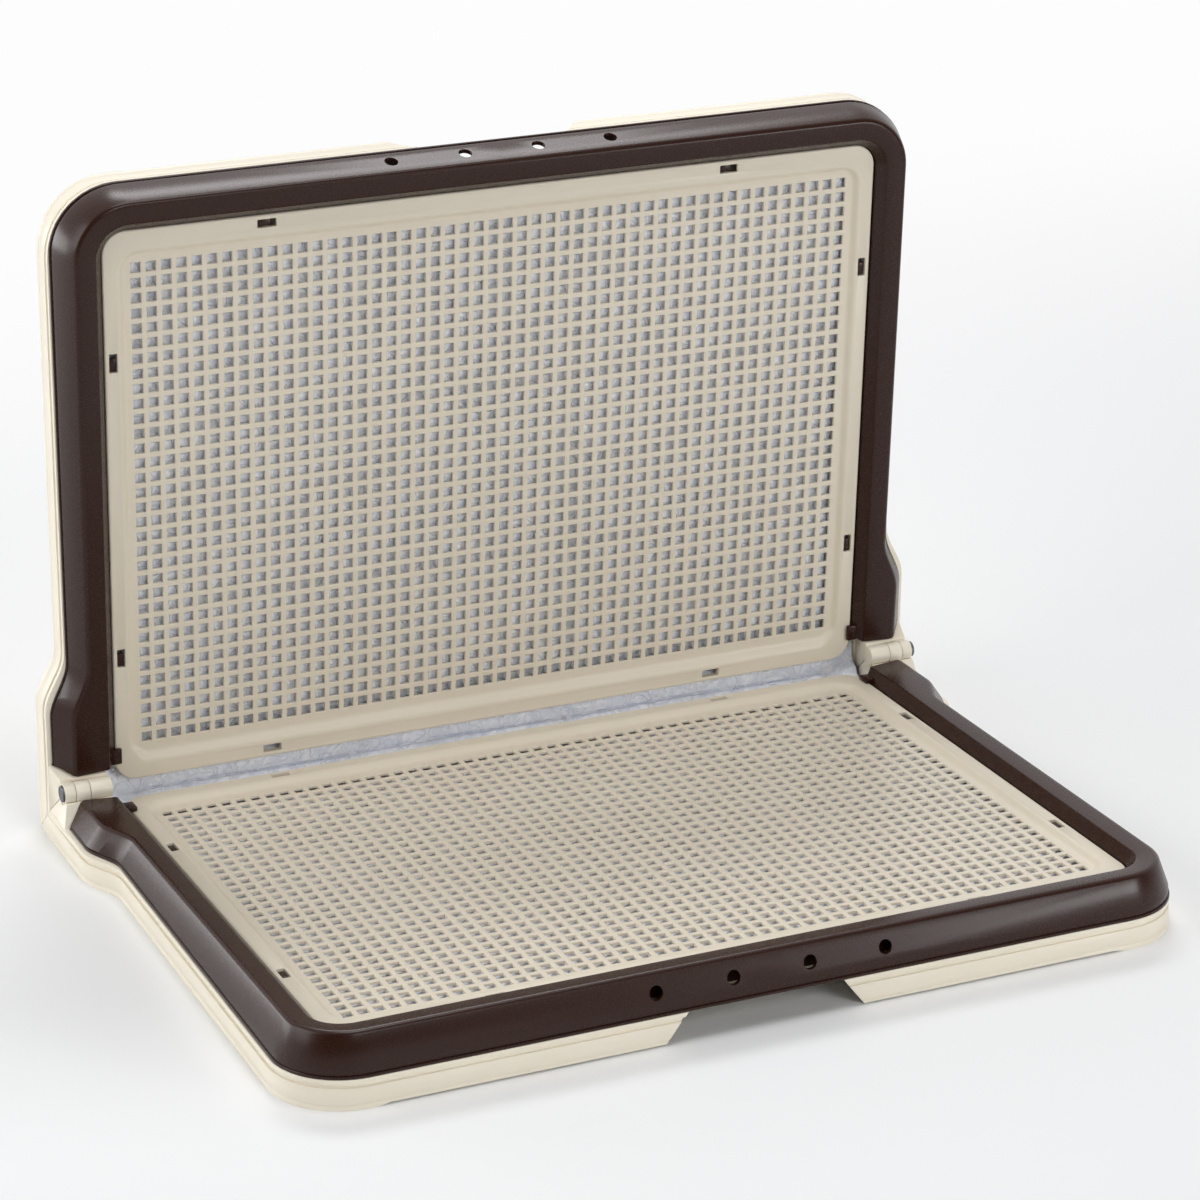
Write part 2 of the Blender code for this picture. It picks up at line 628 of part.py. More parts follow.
def rounded_rectangle(side, rear, front, corner, height):
    """Closed line of a rectangle with round corners, anticlockwise from the right rear."""
    centres = ((side - corner, rear + corner, -90), (side - corner, front - corner, 0),
               (corner - side, front - corner, 90), (corner - side, rear + corner, 180))
    points = []
    for x, s, start in centres:
        for step in range(GRILLE_CORNER_STEPS + 1):
            angle = math.radians(start + 90 * step / GRILLE_CORNER_STEPS)
            points.append(Vector((x + corner * math.cos(angle), s + corner * math.sin(angle), height)))
    return points


def grille_sheet():
    """Upper face of the grille: coarse net, flat border, slope, raised rim and its outer edge."""
    bm = bmesh.new()
    bmesh.ops.create_grid(bm, x_segments=NET_COLUMNS, y_segments=NET_ROWS, size=1)
    bmesh.ops.transform(bm, verts=bm.verts, matrix=Matrix.Translation((0, FIELD_MIDDLE, FIELD_TOP))
                        @ Matrix.Diagonal((HALF_FIELD_WIDTH, HALF_FIELD_LENGTH, 1, 1)))
    cells = list(bm.faces)
    bmesh.ops.inset_individual(bm, faces=cells, thickness=BAR_WIDTH / 2)
    bmesh.ops.delete(bm, geom=cells, context="FACES")
    net_edge = [edge for edge in bm.edges if edge.is_boundary and on_field_edge(edge)]

    flat_rear = FIELD_START - FIELD_MARGIN_REAR
    flat_front = FIELD_MIDDLE + HALF_FIELD_LENGTH + FIELD_MARGIN
    flat_side = HALF_FIELD_WIDTH + FIELD_MARGIN
    slope = RIM_SLOPE_WIDTH
    rings = [
        rounded_rectangle(flat_side, flat_rear, flat_front, FIELD_CORNER, FIELD_TOP),
        rounded_rectangle(flat_side + slope, flat_rear - slope, flat_front + slope, FIELD_CORNER + slope,
                          RIM_TOP),
        rounded_rectangle(GRILLE_SIDE, GRILLE_REAR, GRILLE_FRONT, GRILLE_CORNER, RIM_TOP),
        rounded_rectangle(GRILLE_SIDE, GRILLE_REAR, GRILLE_FRONT, GRILLE_CORNER, GRILLE_BOTTOM),
    ]
    rows = loft(bm, rings, closed=True)
    count = len(rows[0])
    border = [bm.edges.get((rows[0][index], rows[0][(index + 1) % count])) for index in range(count)]
    bmesh.ops.triangle_fill(bm, edges=net_edge + border, use_beauty=True)
    return mesh_from_bmesh("grille_sheet", bm)


def on_field_edge(edge):
    """True for an edge on the outer line of the net."""
    middle = (edge.verts[0].co + edge.verts[1].co) / 2
    across = abs(abs(middle.x) - HALF_FIELD_WIDTH)
    along = abs(abs(middle.y - FIELD_MIDDLE) - HALF_FIELD_LENGTH)
    return min(across, along) < BAR_WIDTH / 4


def slots():
    """Eight clip slots round the rim."""
    side_x = GRILLE_SIDE - SLOT_FROM_EDGE
    rear_s = GRILLE_REAR + SLOT_FROM_EDGE
    front_s = GRILLE_FRONT - SLOT_FROM_EDGE
    top = RIM_TOP + CUT_OVERRUN
    foot = RIM_TOP - GRILLE_THICKNESS - CUT_OVERRUN
    half_long = SLOT_LENGTH / 2
    half_wide = SLOT_WIDTH / 2
    bm = bmesh.new()
    for side in (1, -1):
        for half in (HALF_FIELD_LENGTH - SLOT_FROM_FIELD_END, SLOT_FROM_FIELD_END - HALF_FIELD_LENGTH):
            x = side * side_x
            s = FIELD_MIDDLE + half
            add_box(bm, (x - half_wide, s - half_long, foot), (x + half_wide, s + half_long, top))
        for s in (rear_s, front_s):
            x = side * (HALF_FIELD_WIDTH - SLOT_FROM_FIELD_SIDE)
            add_box(bm, (x - half_long, s - half_wide, foot), (x + half_long, s + half_wide, top))
    return mesh_from_bmesh("slots", bm)


def build_grille(name, parent, collection, cutters, material):
    grille = new_object(name, grille_sheet(), collection, material, parent)
    grille.rotation_euler = (TILT, 0, 0)
    thickness = grille.modifiers.new("thickness", "SOLIDIFY")
    thickness.thickness = GRILLE_THICKNESS
    thickness.offset = -1
    thickness.use_even_offset = True
    tool = as_cutter(new_object(f"{name}_slots", slots(), cutters, None, parent))
    tool.rotation_euler = (TILT, 0, 0)
    boolean(grille, tool, "DIFFERENCE")
    return grille


# Pad

def bend_start():
    """Where the pad's bend starts along the tilted plane, and the bend's middle radius."""
    along = -BEND_CENTRE * (math.cos(TILT) + math.sin(TILT))
    out = -BEND_CENTRE * (math.cos(TILT) - math.sin(TILT))
    return along, out - (PAD_BOTTOM + PAD_TOP) / 2


def pad_turn():
    """Angle through which the pad turns at the hinge of the open tray."""
    return math.pi / 2 + 2 * TILT


def build_pad(name, parent, collection, material):
    start, _ = bend_start()
    end = GRILLE_FRONT - PAD_END_INSET
    bm = bmesh.new()
    add_box(bm, (-PAD_HALF_WIDTH, start + TOUCH_GAP / 2, PAD_BOTTOM), (PAD_HALF_WIDTH, end, PAD_TOP))
    pad = new_object(name, mesh_from_bmesh(name, bm), collection, material, parent)
    pad.rotation_euler = (TILT, 0, 0)
    return pad


def build_pad_bend(name, parent, collection, material):
    """The strip of pad that turns up from the lower half to the upper half."""
    _, radius = bend_start()
    relief = TOUCH_GAP / 2 / radius
    first = -math.pi / 2 + TILT - relief
    last = first - pad_turn() + 2 * relief
    rings = []
    for r in (radius - PAD_THICKNESS / 2, radius + PAD_THICKNESS / 2):
        arc = [first + (last - first) * step / BEND_STEPS for step in range(BEND_STEPS + 1)]
        rings.append([(-BEND_CENTRE + r * math.cos(a), -BEND_CENTRE + r * math.sin(a)) for a in arc])
    outline = rings[0] + rings[1][::-1]
    bm = bmesh.new()
    add_prism(bm, outline,
              lambda v, w: Vector((-PAD_HALF_WIDTH, v, w)),
              lambda v, w: Vector((PAD_HALF_WIDTH, v, w)))
    return new_object(name, mesh_from_bmesh(name, bm), collection, material, parent)


# Hinge pins

def pin_mesh():
    """Profile of a pin from the top of its head down to its blind end."""
    head_foot = KNUCKLE_OUTER - PIN_HEAD_SINK + TOUCH_GAP
    head_top = head_foot + PIN_HEAD_LENGTH
    bm = bmesh.new()
    profile = [
        (0, head_top),
        (PIN_HEAD_RADIUS - PIN_HEAD_CHAMFER, head_top),
        (PIN_HEAD_RADIUS, head_top - PIN_HEAD_CHAMFER),
        (PIN_HEAD_RADIUS, head_foot),
        (PIN_RADIUS, head_foot),
        (PIN_RADIUS, PIN_FOOT + PIN_HEAD_CHAMFER),
        (PIN_RADIUS - PIN_HEAD_CHAMFER, PIN_FOOT),
        (0, PIN_FOOT),
    ]
    verts = [bm.verts.new((r, 0, z)) for r, z in profile]
    for first, second in zip(verts, verts[1:]):
        bm.edges.new((first, second))
    mesh = bpy.data.meshes.new("hinge_pin")
    bm.to_mesh(mesh)
    bm.free()
    return mesh


def build_pins(parent, collection, material):
    mesh = pin_mesh()
    mesh.materials.append(material)
    for name, side in (("left_hinge_pin", -1), ("right_hinge_pin", 1)):
        pin = new_object(name, mesh, collection, None, parent)
        pin.rotation_euler = (0, side * math.pi / 2, 0)
        turn = pin.modifiers.new("turned", "SCREW")
        turn.angle = 2 * math.pi
        turn.steps = CIRCLE_STEPS
        turn.render_steps = CIRCLE_STEPS
        turn.axis = "Z"
        turn.use_merge_vertices = True
        turn.merge_threshold = TOUCH_GAP / 10
        turn.use_smooth_shade = False


# Assembly

def pivot(name, rotation, collection):
    """Empty on the pin's axis that carries one half."""
    empty = bpy.data.objects.new(name, None)
    empty.location = AXIS_PLACE
    empty.rotation_euler = rotation
    collection.objects.link(empty)
    return empty


def build_tray():
    clear_scene()
    tray = new_collection("potty_pad_tray")
    cutters = new_collection("cutters")
    cream = new_material("cream_plastic", CREAM, 0.35)
    grille_cream = new_material("grille_plastic", GRILLE_CREAM, 0.35)
    brown = new_material("brown_plastic", BROWN, 0.28)
    pad_white = new_material("pad_fabric", PAD_WHITE, 0.9)
    pin_grey = new_material("pin_metal", PIN_GREY, 0.4, 1.0)

    halves = {
        "lower": pivot("lower_half", (0, 0, math.pi), tray),
        "upper": pivot("upper_half", (math.pi / 2, 0, 0), tray),
    }
    for half, parent in halves.items():
        build_base(f"{half}_base", parent, half == "upper", tray, cutters, cream)
        build_frame(f"{half}_frame", parent, tray, cutters, brown)
        build_grille(f"{half}_grille", parent, tray, cutters, grille_cream)
        build_pad(f"{half}_pad", parent, tray, pad_white)
    build_pad_bend("pad_bend", halves["lower"], tray, pad_white)
    build_pins(pivot("hinge_axis", (0, 0, 0), tray), tray, pin_grey)


build_tray()
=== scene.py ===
"""Folding potty pad tray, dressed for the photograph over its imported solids.

Each half is modelled lying flat in its own local frame: x along the hinge, v away from the hinge
and w out of its open face, with the hinge pin's axis at v = w = 0. The lower half is then turned
half round, and the upper half is stood up.
"""

import math

import bmesh
import bpy
from mathutils import Matrix, Vector, noise
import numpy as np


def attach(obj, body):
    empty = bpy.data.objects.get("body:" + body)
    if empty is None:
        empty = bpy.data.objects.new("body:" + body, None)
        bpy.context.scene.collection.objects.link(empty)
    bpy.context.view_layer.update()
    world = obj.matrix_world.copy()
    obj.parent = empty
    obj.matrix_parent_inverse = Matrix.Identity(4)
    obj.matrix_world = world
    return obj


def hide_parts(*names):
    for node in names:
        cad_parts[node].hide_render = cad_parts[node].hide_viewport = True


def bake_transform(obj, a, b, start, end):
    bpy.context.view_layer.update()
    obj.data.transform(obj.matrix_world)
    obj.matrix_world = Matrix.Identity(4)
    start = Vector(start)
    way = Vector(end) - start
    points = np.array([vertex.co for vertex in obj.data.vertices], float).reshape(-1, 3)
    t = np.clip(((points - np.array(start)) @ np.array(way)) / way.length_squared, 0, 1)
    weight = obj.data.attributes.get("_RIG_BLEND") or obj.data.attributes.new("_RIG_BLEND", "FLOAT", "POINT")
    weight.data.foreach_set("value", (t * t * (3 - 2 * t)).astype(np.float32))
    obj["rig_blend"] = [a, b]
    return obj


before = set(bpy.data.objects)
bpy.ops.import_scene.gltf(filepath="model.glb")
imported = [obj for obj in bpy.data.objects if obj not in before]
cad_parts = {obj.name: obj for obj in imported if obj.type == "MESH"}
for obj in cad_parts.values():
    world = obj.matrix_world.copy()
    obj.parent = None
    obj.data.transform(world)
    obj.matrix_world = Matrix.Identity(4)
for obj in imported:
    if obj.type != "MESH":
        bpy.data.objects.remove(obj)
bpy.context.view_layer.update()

MM = 0.001

# Place of the two halves
AXIS = Vector((0, 143.05 * MM, 30.7 * MM))
HALVES = {
    "lower": Matrix.Translation(AXIS) @ Matrix.Rotation(math.pi, 4, "Z"),
    "upper": Matrix.Translation(AXIS) @ Matrix.Rotation(math.pi / 2, 4, "X"),
}
TILT = math.radians(1.72)               # lean of the grille and the closing plane against the base

# Grille
COLUMNS, ROWS = 50, 33
PITCH = 8.0 * MM
BAR = 2.7 * MM                          # width of a bar between two holes
FIELD_MIDDLE = 146.35 * MM
FIELD_HALF = Vector((COLUMNS * PITCH / 2, ROWS * PITCH / 2))
FIELD_REAR, FIELD_FRONT = FIELD_MIDDLE - FIELD_HALF.y, FIELD_MIDDLE + FIELD_HALF.y
FIELD_TOP, RIM_TOP, GRILLE_BOTTOM = -12.4 * MM, -9.6 * MM, -14.9 * MM
GRILLE_SIDE, GRILLE_REAR, GRILLE_FRONT = 214 * MM, -3.5 * MM, 295 * MM
GRILLE_CORNER = 12 * MM
GRILLE_SHEET = 1.6 * MM
BORDER, REAR_BORDER = 2.2 * MM, 6.0 * MM          # flat strip between the holes and the slope
SLOPE = 4.2 * MM                        # width of the slope up to the rim
SLOPE_STEPS = ((0.8, 0.15), (0.8, 0.6), (1.0, 1.3), (0.8, 0.6), (0.8, 0.15))      # width and drop in mm
SLOPE_CORNER = 11 * MM
REAR_EASE = 14 * MM                     # the slope beside the hinge is drawn out over this depth
RIM_ROUND, HOLE_ROUND = 1.0 * MM, 0.35 * MM
SLOT_HALF_LENGTH, SLOT_HALF_WIDTH = 5 * MM, 2.1 * MM
SLOT_SIDE, SLOT_AWAY = 209.5 * MM, 80.3 * MM      # side slots: from x = 0 and from the field's middle
SLOT_ACROSS = 127.9 * MM                # rear and front slots: from x = 0
SLOT_REAR, SLOT_FRONT = 1.0 * MM, 290.5 * MM
SLOT_WALL = 3.6 * MM                    # depth of the walls in the rear slots

# Frame
FRAME_SIDE, FRAME_FRONT, FRAME_CORNER = 234.3 * MM, 316.5 * MM, 33.5 * MM
FRAME_BEND = FRAME_FRONT - FRAME_CORNER           # here the side turns into the front
FRAME_WALL = 2.0 * MM
FOOT = -14.8 * MM
FLANGE_SIDE, FLANGE_TOP = 236.9 * MM, FOOT + 1.4 * MM
FLANGE_CHAMFER = 0.3 * MM
WALL_FOOT = FRAME_SIDE + 1.5 * MM       # the outer wall's foot, on the flange
CREST, CREST_MIDDLE, CREST_ROUND = -2.6 * MM, 227.4 * MM, 3.4 * MM
LIP, LIP_MIDDLE, LIP_ROUND = -3.6 * MM, 219.9 * MM, 1.7 * MM
INNER_WALL = [(215.3 * MM, -8.5 * MM), (214.95 * MM, -9.0 * MM), (214.8 * MM, -9.8 * MM),
              (214.8 * MM, GRILLE_BOTTOM)]
SHOULDER_NEAR, SHOULDER_FAR = 37 * MM, 66 * MM    # the rail is widest up to here, straight from here on
FOOT_SHOULDER, WALL_SHOULDER, CREST_SHOULDER = 9.5 * MM, 10.4 * MM, 8.6 * MM
FOOT_FRONT_SHARE, WALL_FRONT_SHARE, CREST_FRONT_SHARE = 0.933, 0.955, 0.98        # of the corner's radius
INNER_FRONT_SHARE = ((GRILLE_FRONT + 0.9 * MM - FRAME_BEND)
                     / (GRILLE_SIDE + 0.6 * MM - FRAME_SIDE + FRAME_CORNER))
BAND_RISE_SHARE = 0.42                  # share of the closing plane's rise in the low band under the wall
FRAME_ENDS = {"lower": (5.0 * MM, 7.0 * MM), "upper": (6.3 * MM, 4.2 * MM)}       # v at the crest, lean
FRAME_END_ROUND = 1.5 * MM
PEEP_COUNT, PEEP_PITCH, PEEP_RADIUS = 4, 40.3 * MM, 3.5 * MM
PEEP_SHIFT = {"lower": -3.3 * MM, "upper": 0}
PEEP_DROP = 9.6 * MM                    # from the crest down to a hole's middle
# Brown plate behind the lower frame's peep holes, there only as painted shade in them: size, set back from
# the front, middle height
PEEP_SHADE_PLATE = (170 * MM, 1.2 * MM, 13 * MM)
PEEP_SHADE_PLATE_BACK, PEEP_SHADE_PLATE_MIDDLE = 10 * MM, -2.5 * MM
CORNER_CATCH = (5.6 * MM, 8.6 * MM, 2.2 * MM)
CORNER_CATCH_PLACE, CORNER_CATCH_RISE = 12 * MM, 1.4 * MM
CLIP_HEIGHT, CLIP_DROP = 2.6 * MM, 2.5 * MM       # clip in a slot, and its middle below the rim
CLIP_ROOM, CLIP_SHORT, CLIP_SHIFT = 0.5 * MM, 2.6 * MM, 1.2 * MM
CATCH_ROUND = 0.5 * MM

# Base
BASE_ROUND = 0.5 * MM
LINE_RISE, LINE_HALF_WIDTH, LINE_DEPTH = 2.6 * MM, 0.4 * MM, 0.4 * MM             # line round the skirt

# Pad
PAD_LENGTH = 0.600                      # from the front edge over the fold to the top edge
FOLD = PAD_LENGTH / 2
PAD_SIDE = 219 * MM
PAD_END = 284.4 * MM
PAD_MIDDLE = -16.7 * MM
PAD_HALF = 1.5 * MM                     # half its thickness
BEND_CENTRE = -8.3 * MM
PAD_COLUMNS, PAD_ROWS = 146, 220
CREASES_AWAY = (-43 * MM, 79 * MM)      # x of the creases that run away from the hinge
CREASES_ALONG = (98.5 * MM, 197 * MM, 403 * MM, 502 * MM)        # and lengths of those along the hinge
NET_SIDE = 198.5 * MM                   # the net presses on the pad up to here
BARE_HALF, FIRST_ROW_END = 13.5 * MM, 36.5 * MM   # from the fold: ends of the bare strip and first holes

# Pins
PIN_HEAD_RADIUS, PIN_HEAD_LENGTH, PIN_SHANK = 4.3 * MM, 2.2 * MM, 22.4 * MM
PIN_SEATS = {"left": -244.7 * MM, "right": 245.8 * MM}      # the right head stands further out


# Camera

def photo_camera():
    """Long lens from the left front and above, as the photograph was taken."""
    data = bpy.data.cameras.new("photo_view")
    data.sensor_width = 36
    data.lens = 122.109
    data.clip_end = 50
    camera = bpy.data.objects.new("photo_view", data)
    bpy.context.scene.collection.objects.link(camera)
    right = Vector((0.91043, -0.41355, 0.01030))
    up = Vector((0.14645, 0.34549, 0.92695))
    turn = Matrix((right, up, right.cross(up))).transposed().to_4x4()
    camera.matrix_world = Matrix.Translation((-0.7880, -1.69505, 0.9088)) @ turn
    bpy.context.scene.camera = camera


# Modelling by hand

def only(item):
    """Select one object and make it the active one."""
    for other in bpy.context.selected_objects:
        other.select_set(False)
    item.select_set(True)
    bpy.context.view_layer.objects.active = item


def edit(item, kind="VERT"):
    only(item)
    bpy.ops.object.mode_set(mode="EDIT")
    bpy.ops.mesh.select_mode(type=kind)
    bpy.ops.mesh.select_all(action="DESELECT")


def leave_edit():
    bpy.ops.object.mode_set(mode="OBJECT")


def pick(test, kind="VERT"):
    """Select the vertices, edges or faces that pass the test, and nothing else."""
    bpy.ops.mesh.select_mode(type=kind)
    bpy.ops.mesh.select_all(action="DESELECT")
    form = bmesh.from_edit_mesh(bpy.context.object.data)
    parts = {"VERT": form.verts, "EDGE": form.edges, "FACE": form.faces}[kind]
    for part in parts:
        if test(part):
            part.select_set(True)
    bmesh.update_edit_mesh(bpy.context.object.data)


def start(name, add, stretch, place, **more):
    """A primitive at its size and place, with its scale applied."""
    for other in bpy.context.selected_objects:
        other.select_set(False)
    add(location=place, **more)
    item = bpy.context.object
    item.name = name
    item.scale = stretch
    bpy.ops.object.transform_apply(location=True, rotation=True, scale=True)
    return item


def modify(item, kind, **settings):
    """Add a modifier and apply it."""
    only(item)
    step = item.modifiers.new(kind.lower(), kind)
    for name, value in settings.items():
        setattr(step, name, value)
    bpy.ops.object.modifier_apply(modifier=step.name)


def face_up():
    """Turn an open sheet over if most of it faces down."""
    form = bmesh.from_edit_mesh(bpy.context.object.data)
    if sum(face.normal.z * face.calc_area() for face in form.faces) < 0:
        bpy.ops.mesh.select_all(action="SELECT")
        bpy.ops.mesh.flip_normals()


def join(item, others):
    only(item)
    for other in others:
        other.select_set(True)
    bpy.ops.object.join()
    return item


def remove(item):
    bpy.data.objects.remove(item, do_unlink=True)


def copy_of(item, name):
    """Copy with a mesh of its own."""
    twin = item.copy()
    twin.data = item.data.copy()
    twin.name = name
    bpy.context.scene.collection.objects.link(twin)
    return twin


def move_mesh(item, place):
    item.data.transform(place)
    item.data.update()


def smooth(item, angle=38):
    only(item)
    bpy.ops.object.shade_smooth_by_angle(angle=math.radians(angle))


def wear(item, material):
    item.data.materials.clear()
    item.data.materials.append(material)


def finish_piece(item, body, nodes, material):
    """Give a finished piece its shading, material, body and the solids it stands for."""
    smooth(item)
    wear(item, material)
    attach(item, body)
    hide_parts(*nodes)


# Materials

def linear(code):
    """Linear colour from an sRGB hex value."""
    parts = [int(code[i:i + 2], 16) / 255 for i in (1, 3, 5)]
    return tuple(p / 12.92 if p <= 0.04045 else ((p + 0.055) / 1.055) ** 2.4 for p in parts) + (1,)


def add(tree, kind, settings, links=()):
    """Add a node, set its properties and inputs, and link sockets of other nodes into it."""
    node = tree.nodes.new(kind)
    for name, value in settings.items():
        if isinstance(name, str) and hasattr(node, name):
            setattr(node, name, value)
        else:
            node.inputs[name].default_value = value
    for socket, (source, output) in dict(links).items():
        tree.links.new(source.outputs[output], node.inputs[socket])
    return node


def new_material(name):
    material = bpy.data.materials.new(name)
    material.use_nodes = True
    tree = material.node_tree
    tree.nodes.clear()
    output = tree.nodes.new("ShaderNodeOutputMaterial")
    shader = tree.nodes.new("ShaderNodeBsdfPrincipled")
    tree.links.new(shader.outputs["BSDF"], output.inputs["Surface"])
    return material, tree, shader


def moulded_plastic(name, light, dark, roughness, specular, grain_mm, grain_depth_mm):
    """Injection-moulded polypropylene: an even colour with faint flow clouds and a fine eroded grain."""
    material, tree, shader = new_material(name)
    shader.inputs["IOR"].default_value = 1.49
    shader.inputs["Specular IOR Level"].default_value = specular
    place = add(tree, "ShaderNodeTexCoord", {})
    flow = add(tree, "ShaderNodeTexNoise", {"Scale": 1 / (60 * MM), "Detail": 2.0, "Roughness": 0.5},
               {"Vector": (place, "Object")})
    colour = add(tree, "ShaderNodeMix", {"data_type": "RGBA", 6: linear(dark), 7: linear(light)},
                 {0: (flow, 0)})
    tree.links.new(colour.outputs[2], shader.inputs["Base Color"])
    grain = add(tree, "ShaderNodeTexNoise", {"Scale": 1 / (grain_mm * MM), "Detail": 1.0, "Roughness": 0.6},
                {"Vector": (place, "Object")})
    gloss = add(tree, "ShaderNodeMapRange", {"To Min": roughness - 0.03, "To Max": roughness + 0.03},
                {"Value": (grain, 0)})
    tree.links.new(gloss.outputs[0], shader.inputs["Roughness"])
    relief = add(tree, "ShaderNodeBump", {"Strength": 1.0, "Distance": grain_depth_mm * MM},
                 {"Height": (grain, 0)})
    tree.links.new(relief.outputs[0], shader.inputs["Normal"])
    return material


def pad_fabric():
    """Non-woven polypropylene over fluff pulp: matt, cool white, crinkled with painted shade along the
    crinkle lines, clouded where the fluff shows.
    """
    material, tree, shader = new_material("pad_nonwoven_white")
    shader.inputs["Roughness"].default_value = 0.85
    shader.inputs["Specular IOR Level"].default_value = 0.2
    place = add(tree, "ShaderNodeTexCoord", {})
    cloud = add(tree, "ShaderNodeTexNoise", {"Scale": 1 / (7 * MM), "Detail": 3.0, "Roughness": 0.65},
                {"Vector": (place, "Object")})
    spread = add(tree, "ShaderNodeMapRange", {"From Min": 0.3, "From Max": 0.6}, {"Value": (cloud, 0)})
    colour = add(tree, "ShaderNodeMix", {"data_type": "RGBA", 6: linear("#DDE2F0"), 7: linear("#F6F8FE")},
                 {0: (spread, 0)})
    crinkle = add(tree, "ShaderNodeTexNoise", {"Scale": 1 / (11 * MM), "Detail": 2.0, "Roughness": 0.7,
                                               "Distortion": 1.2}, {"Vector": (place, "Object")})
    ridge = add(tree, "ShaderNodeMath", {"operation": "SUBTRACT", 1: 0.5}, {0: (crinkle, 0)})
    ridge = add(tree, "ShaderNodeMath", {"operation": "ABSOLUTE"}, {0: (ridge, 0)})
    line = add(tree, "ShaderNodeMapRange", {"From Min": 0.0, "From Max": 0.07}, {"Value": (ridge, 0)})
    # painted shade: the crinkle lines, which the bump below sinks into grooves, are tinted a darker
    # blue-white
    crease_shaded = add(tree, "ShaderNodeMix", {"data_type": "RGBA", 6: linear("#E4E8F3")},
               {0: (line, 0), 7: (colour, 2)})
    tree.links.new(crease_shaded.outputs[2], shader.inputs["Base Color"])
    fibre = add(tree, "ShaderNodeTexNoise", {"Scale": 1 / (1.2 * MM), "Detail": 2.0, "Roughness": 0.7},
                {"Vector": (place, "Object")})
    height = add(tree, "ShaderNodeMath", {"operation": "MULTIPLY_ADD", 1: 3.0}, {0: (line, 0), 2: (fibre, 0)})
    relief = add(tree, "ShaderNodeBump", {"Strength": 1.0, "Distance": 0.12 * MM}, {"Height": (height, 0)})
    tree.links.new(relief.outputs[0], shader.inputs["Normal"])
    return material


def pin_steel():
    """Turned steel pin, blackened: a dull, even dark grey."""
    material, _, shader = new_material("pin_blackened_steel")
    shader.inputs["Metallic"].default_value = 1.0
    shader.inputs["Roughness"].default_value = 0.42
    shader.inputs["Base Color"].default_value = linear("#6A6A6C")
    return material


def direct(tree):
    """One for rays that show the background itself: camera, glossy and transmission rays."""
    path = add(tree, "ShaderNodeLightPath", {})
    seen = add(tree, "ShaderNodeMath", {"operation": "MAXIMUM"},
               {0: (path, "Is Camera Ray"), 1: (path, "Is Glossy Ray")})
    return add(tree, "ShaderNodeMath", {"operation": "MAXIMUM"},
               {0: (seen, 0), 1: (path, "Is Transmission Ray")})


def studio_white():
    """Seamless paper sweep, lit by the lamps near the tray and plain white far behind it."""
    material, tree, shader = new_material("paper_sweep_white")
    shader.inputs["Base Color"].default_value = linear("#F4F5F6")
    shader.inputs["Roughness"].default_value = 0.55
    shader.inputs["Specular IOR Level"].default_value = 0.3
    glow = add(tree, "ShaderNodeEmission", {"Color": linear("#FDFDFE"), "Strength": 1.0})
    place = add(tree, "ShaderNodeTexCoord", {})
    split = add(tree, "ShaderNodeSeparateXYZ", {}, {0: (place, "Object")})
    far = add(tree, "ShaderNodeMapRange",
              {"From Min": 0.1, "From Max": 1.2, "interpolation_type": "SMOOTHSTEP"}, {"Value": (split, 1)})
    seen = add(tree, "ShaderNodeMath", {"operation": "MULTIPLY"}, {0: (direct(tree), 0), 1: (far, 0)})
    both = add(tree, "ShaderNodeMixShader", {}, {0: (seen, 0), 1: (shader, 0), 2: (glow, 0)})
    output = [node for node in tree.nodes if node.type == "OUTPUT_MATERIAL"][0]
    tree.links.new(both.outputs[0], output.inputs["Surface"])
    return material


# Grille

def rounded_plate(name, side, rear, front, corner, height, steps):
    """Flat plate with round corners."""
    size = (2 * side, front - rear, 1)
    plate = start(name, bpy.ops.mesh.primitive_plane_add, size, (0, (rear + front) / 2, height), size=1)
    edit(plate)
    bpy.ops.mesh.select_all(action="SELECT")
    bpy.ops.mesh.bevel(offset=corner, segments=steps, affect="VERTICES")
    leave_edit()
    return plate


def hole_net():
    """The hole field: a sheet of 50 by 33 cells with a bar round each."""
    size = (2 * FIELD_HALF.x, 2 * FIELD_HALF.y, 1)
    net = start("net", bpy.ops.mesh.primitive_grid_add, size, (0, FIELD_MIDDLE, FIELD_TOP),
                x_subdivisions=COLUMNS, y_subdivisions=ROWS, size=1)
    edit(net, "FACE")
    bpy.ops.mesh.select_all(action="SELECT")
    bpy.ops.mesh.inset(thickness=BAR / 2, use_individual=True)
    bpy.ops.mesh.delete(type="FACE")
    leave_edit()
    return net


def slope_ring():
    """The S-shaped slope from the rim down to the field, gentler beside the hinge."""
    rear = FIELD_REAR - REAR_BORDER - SLOPE
    ring = rounded_plate("slope", FIELD_HALF.x + BORDER + SLOPE, rear, FIELD_FRONT + BORDER + SLOPE,
                         SLOPE_CORNER, RIM_TOP, 8)
    edit(ring, "FACE")
    bpy.ops.mesh.select_all(action="SELECT")
    for width, drop in SLOPE_STEPS:
        bpy.ops.mesh.inset(thickness=width * MM)
        bpy.ops.transform.translate(value=(0, 0, -drop * MM))
    bpy.ops.mesh.delete(type="ONLY_FACE")
    leave_edit()
    for vertex in ring.data.vertices:
        depth = vertex.co.y - rear
        if depth < REAR_EASE:
            vertex.co.y += min(depth * 0.8, (REAR_EASE - depth) * 0.343)
    return ring


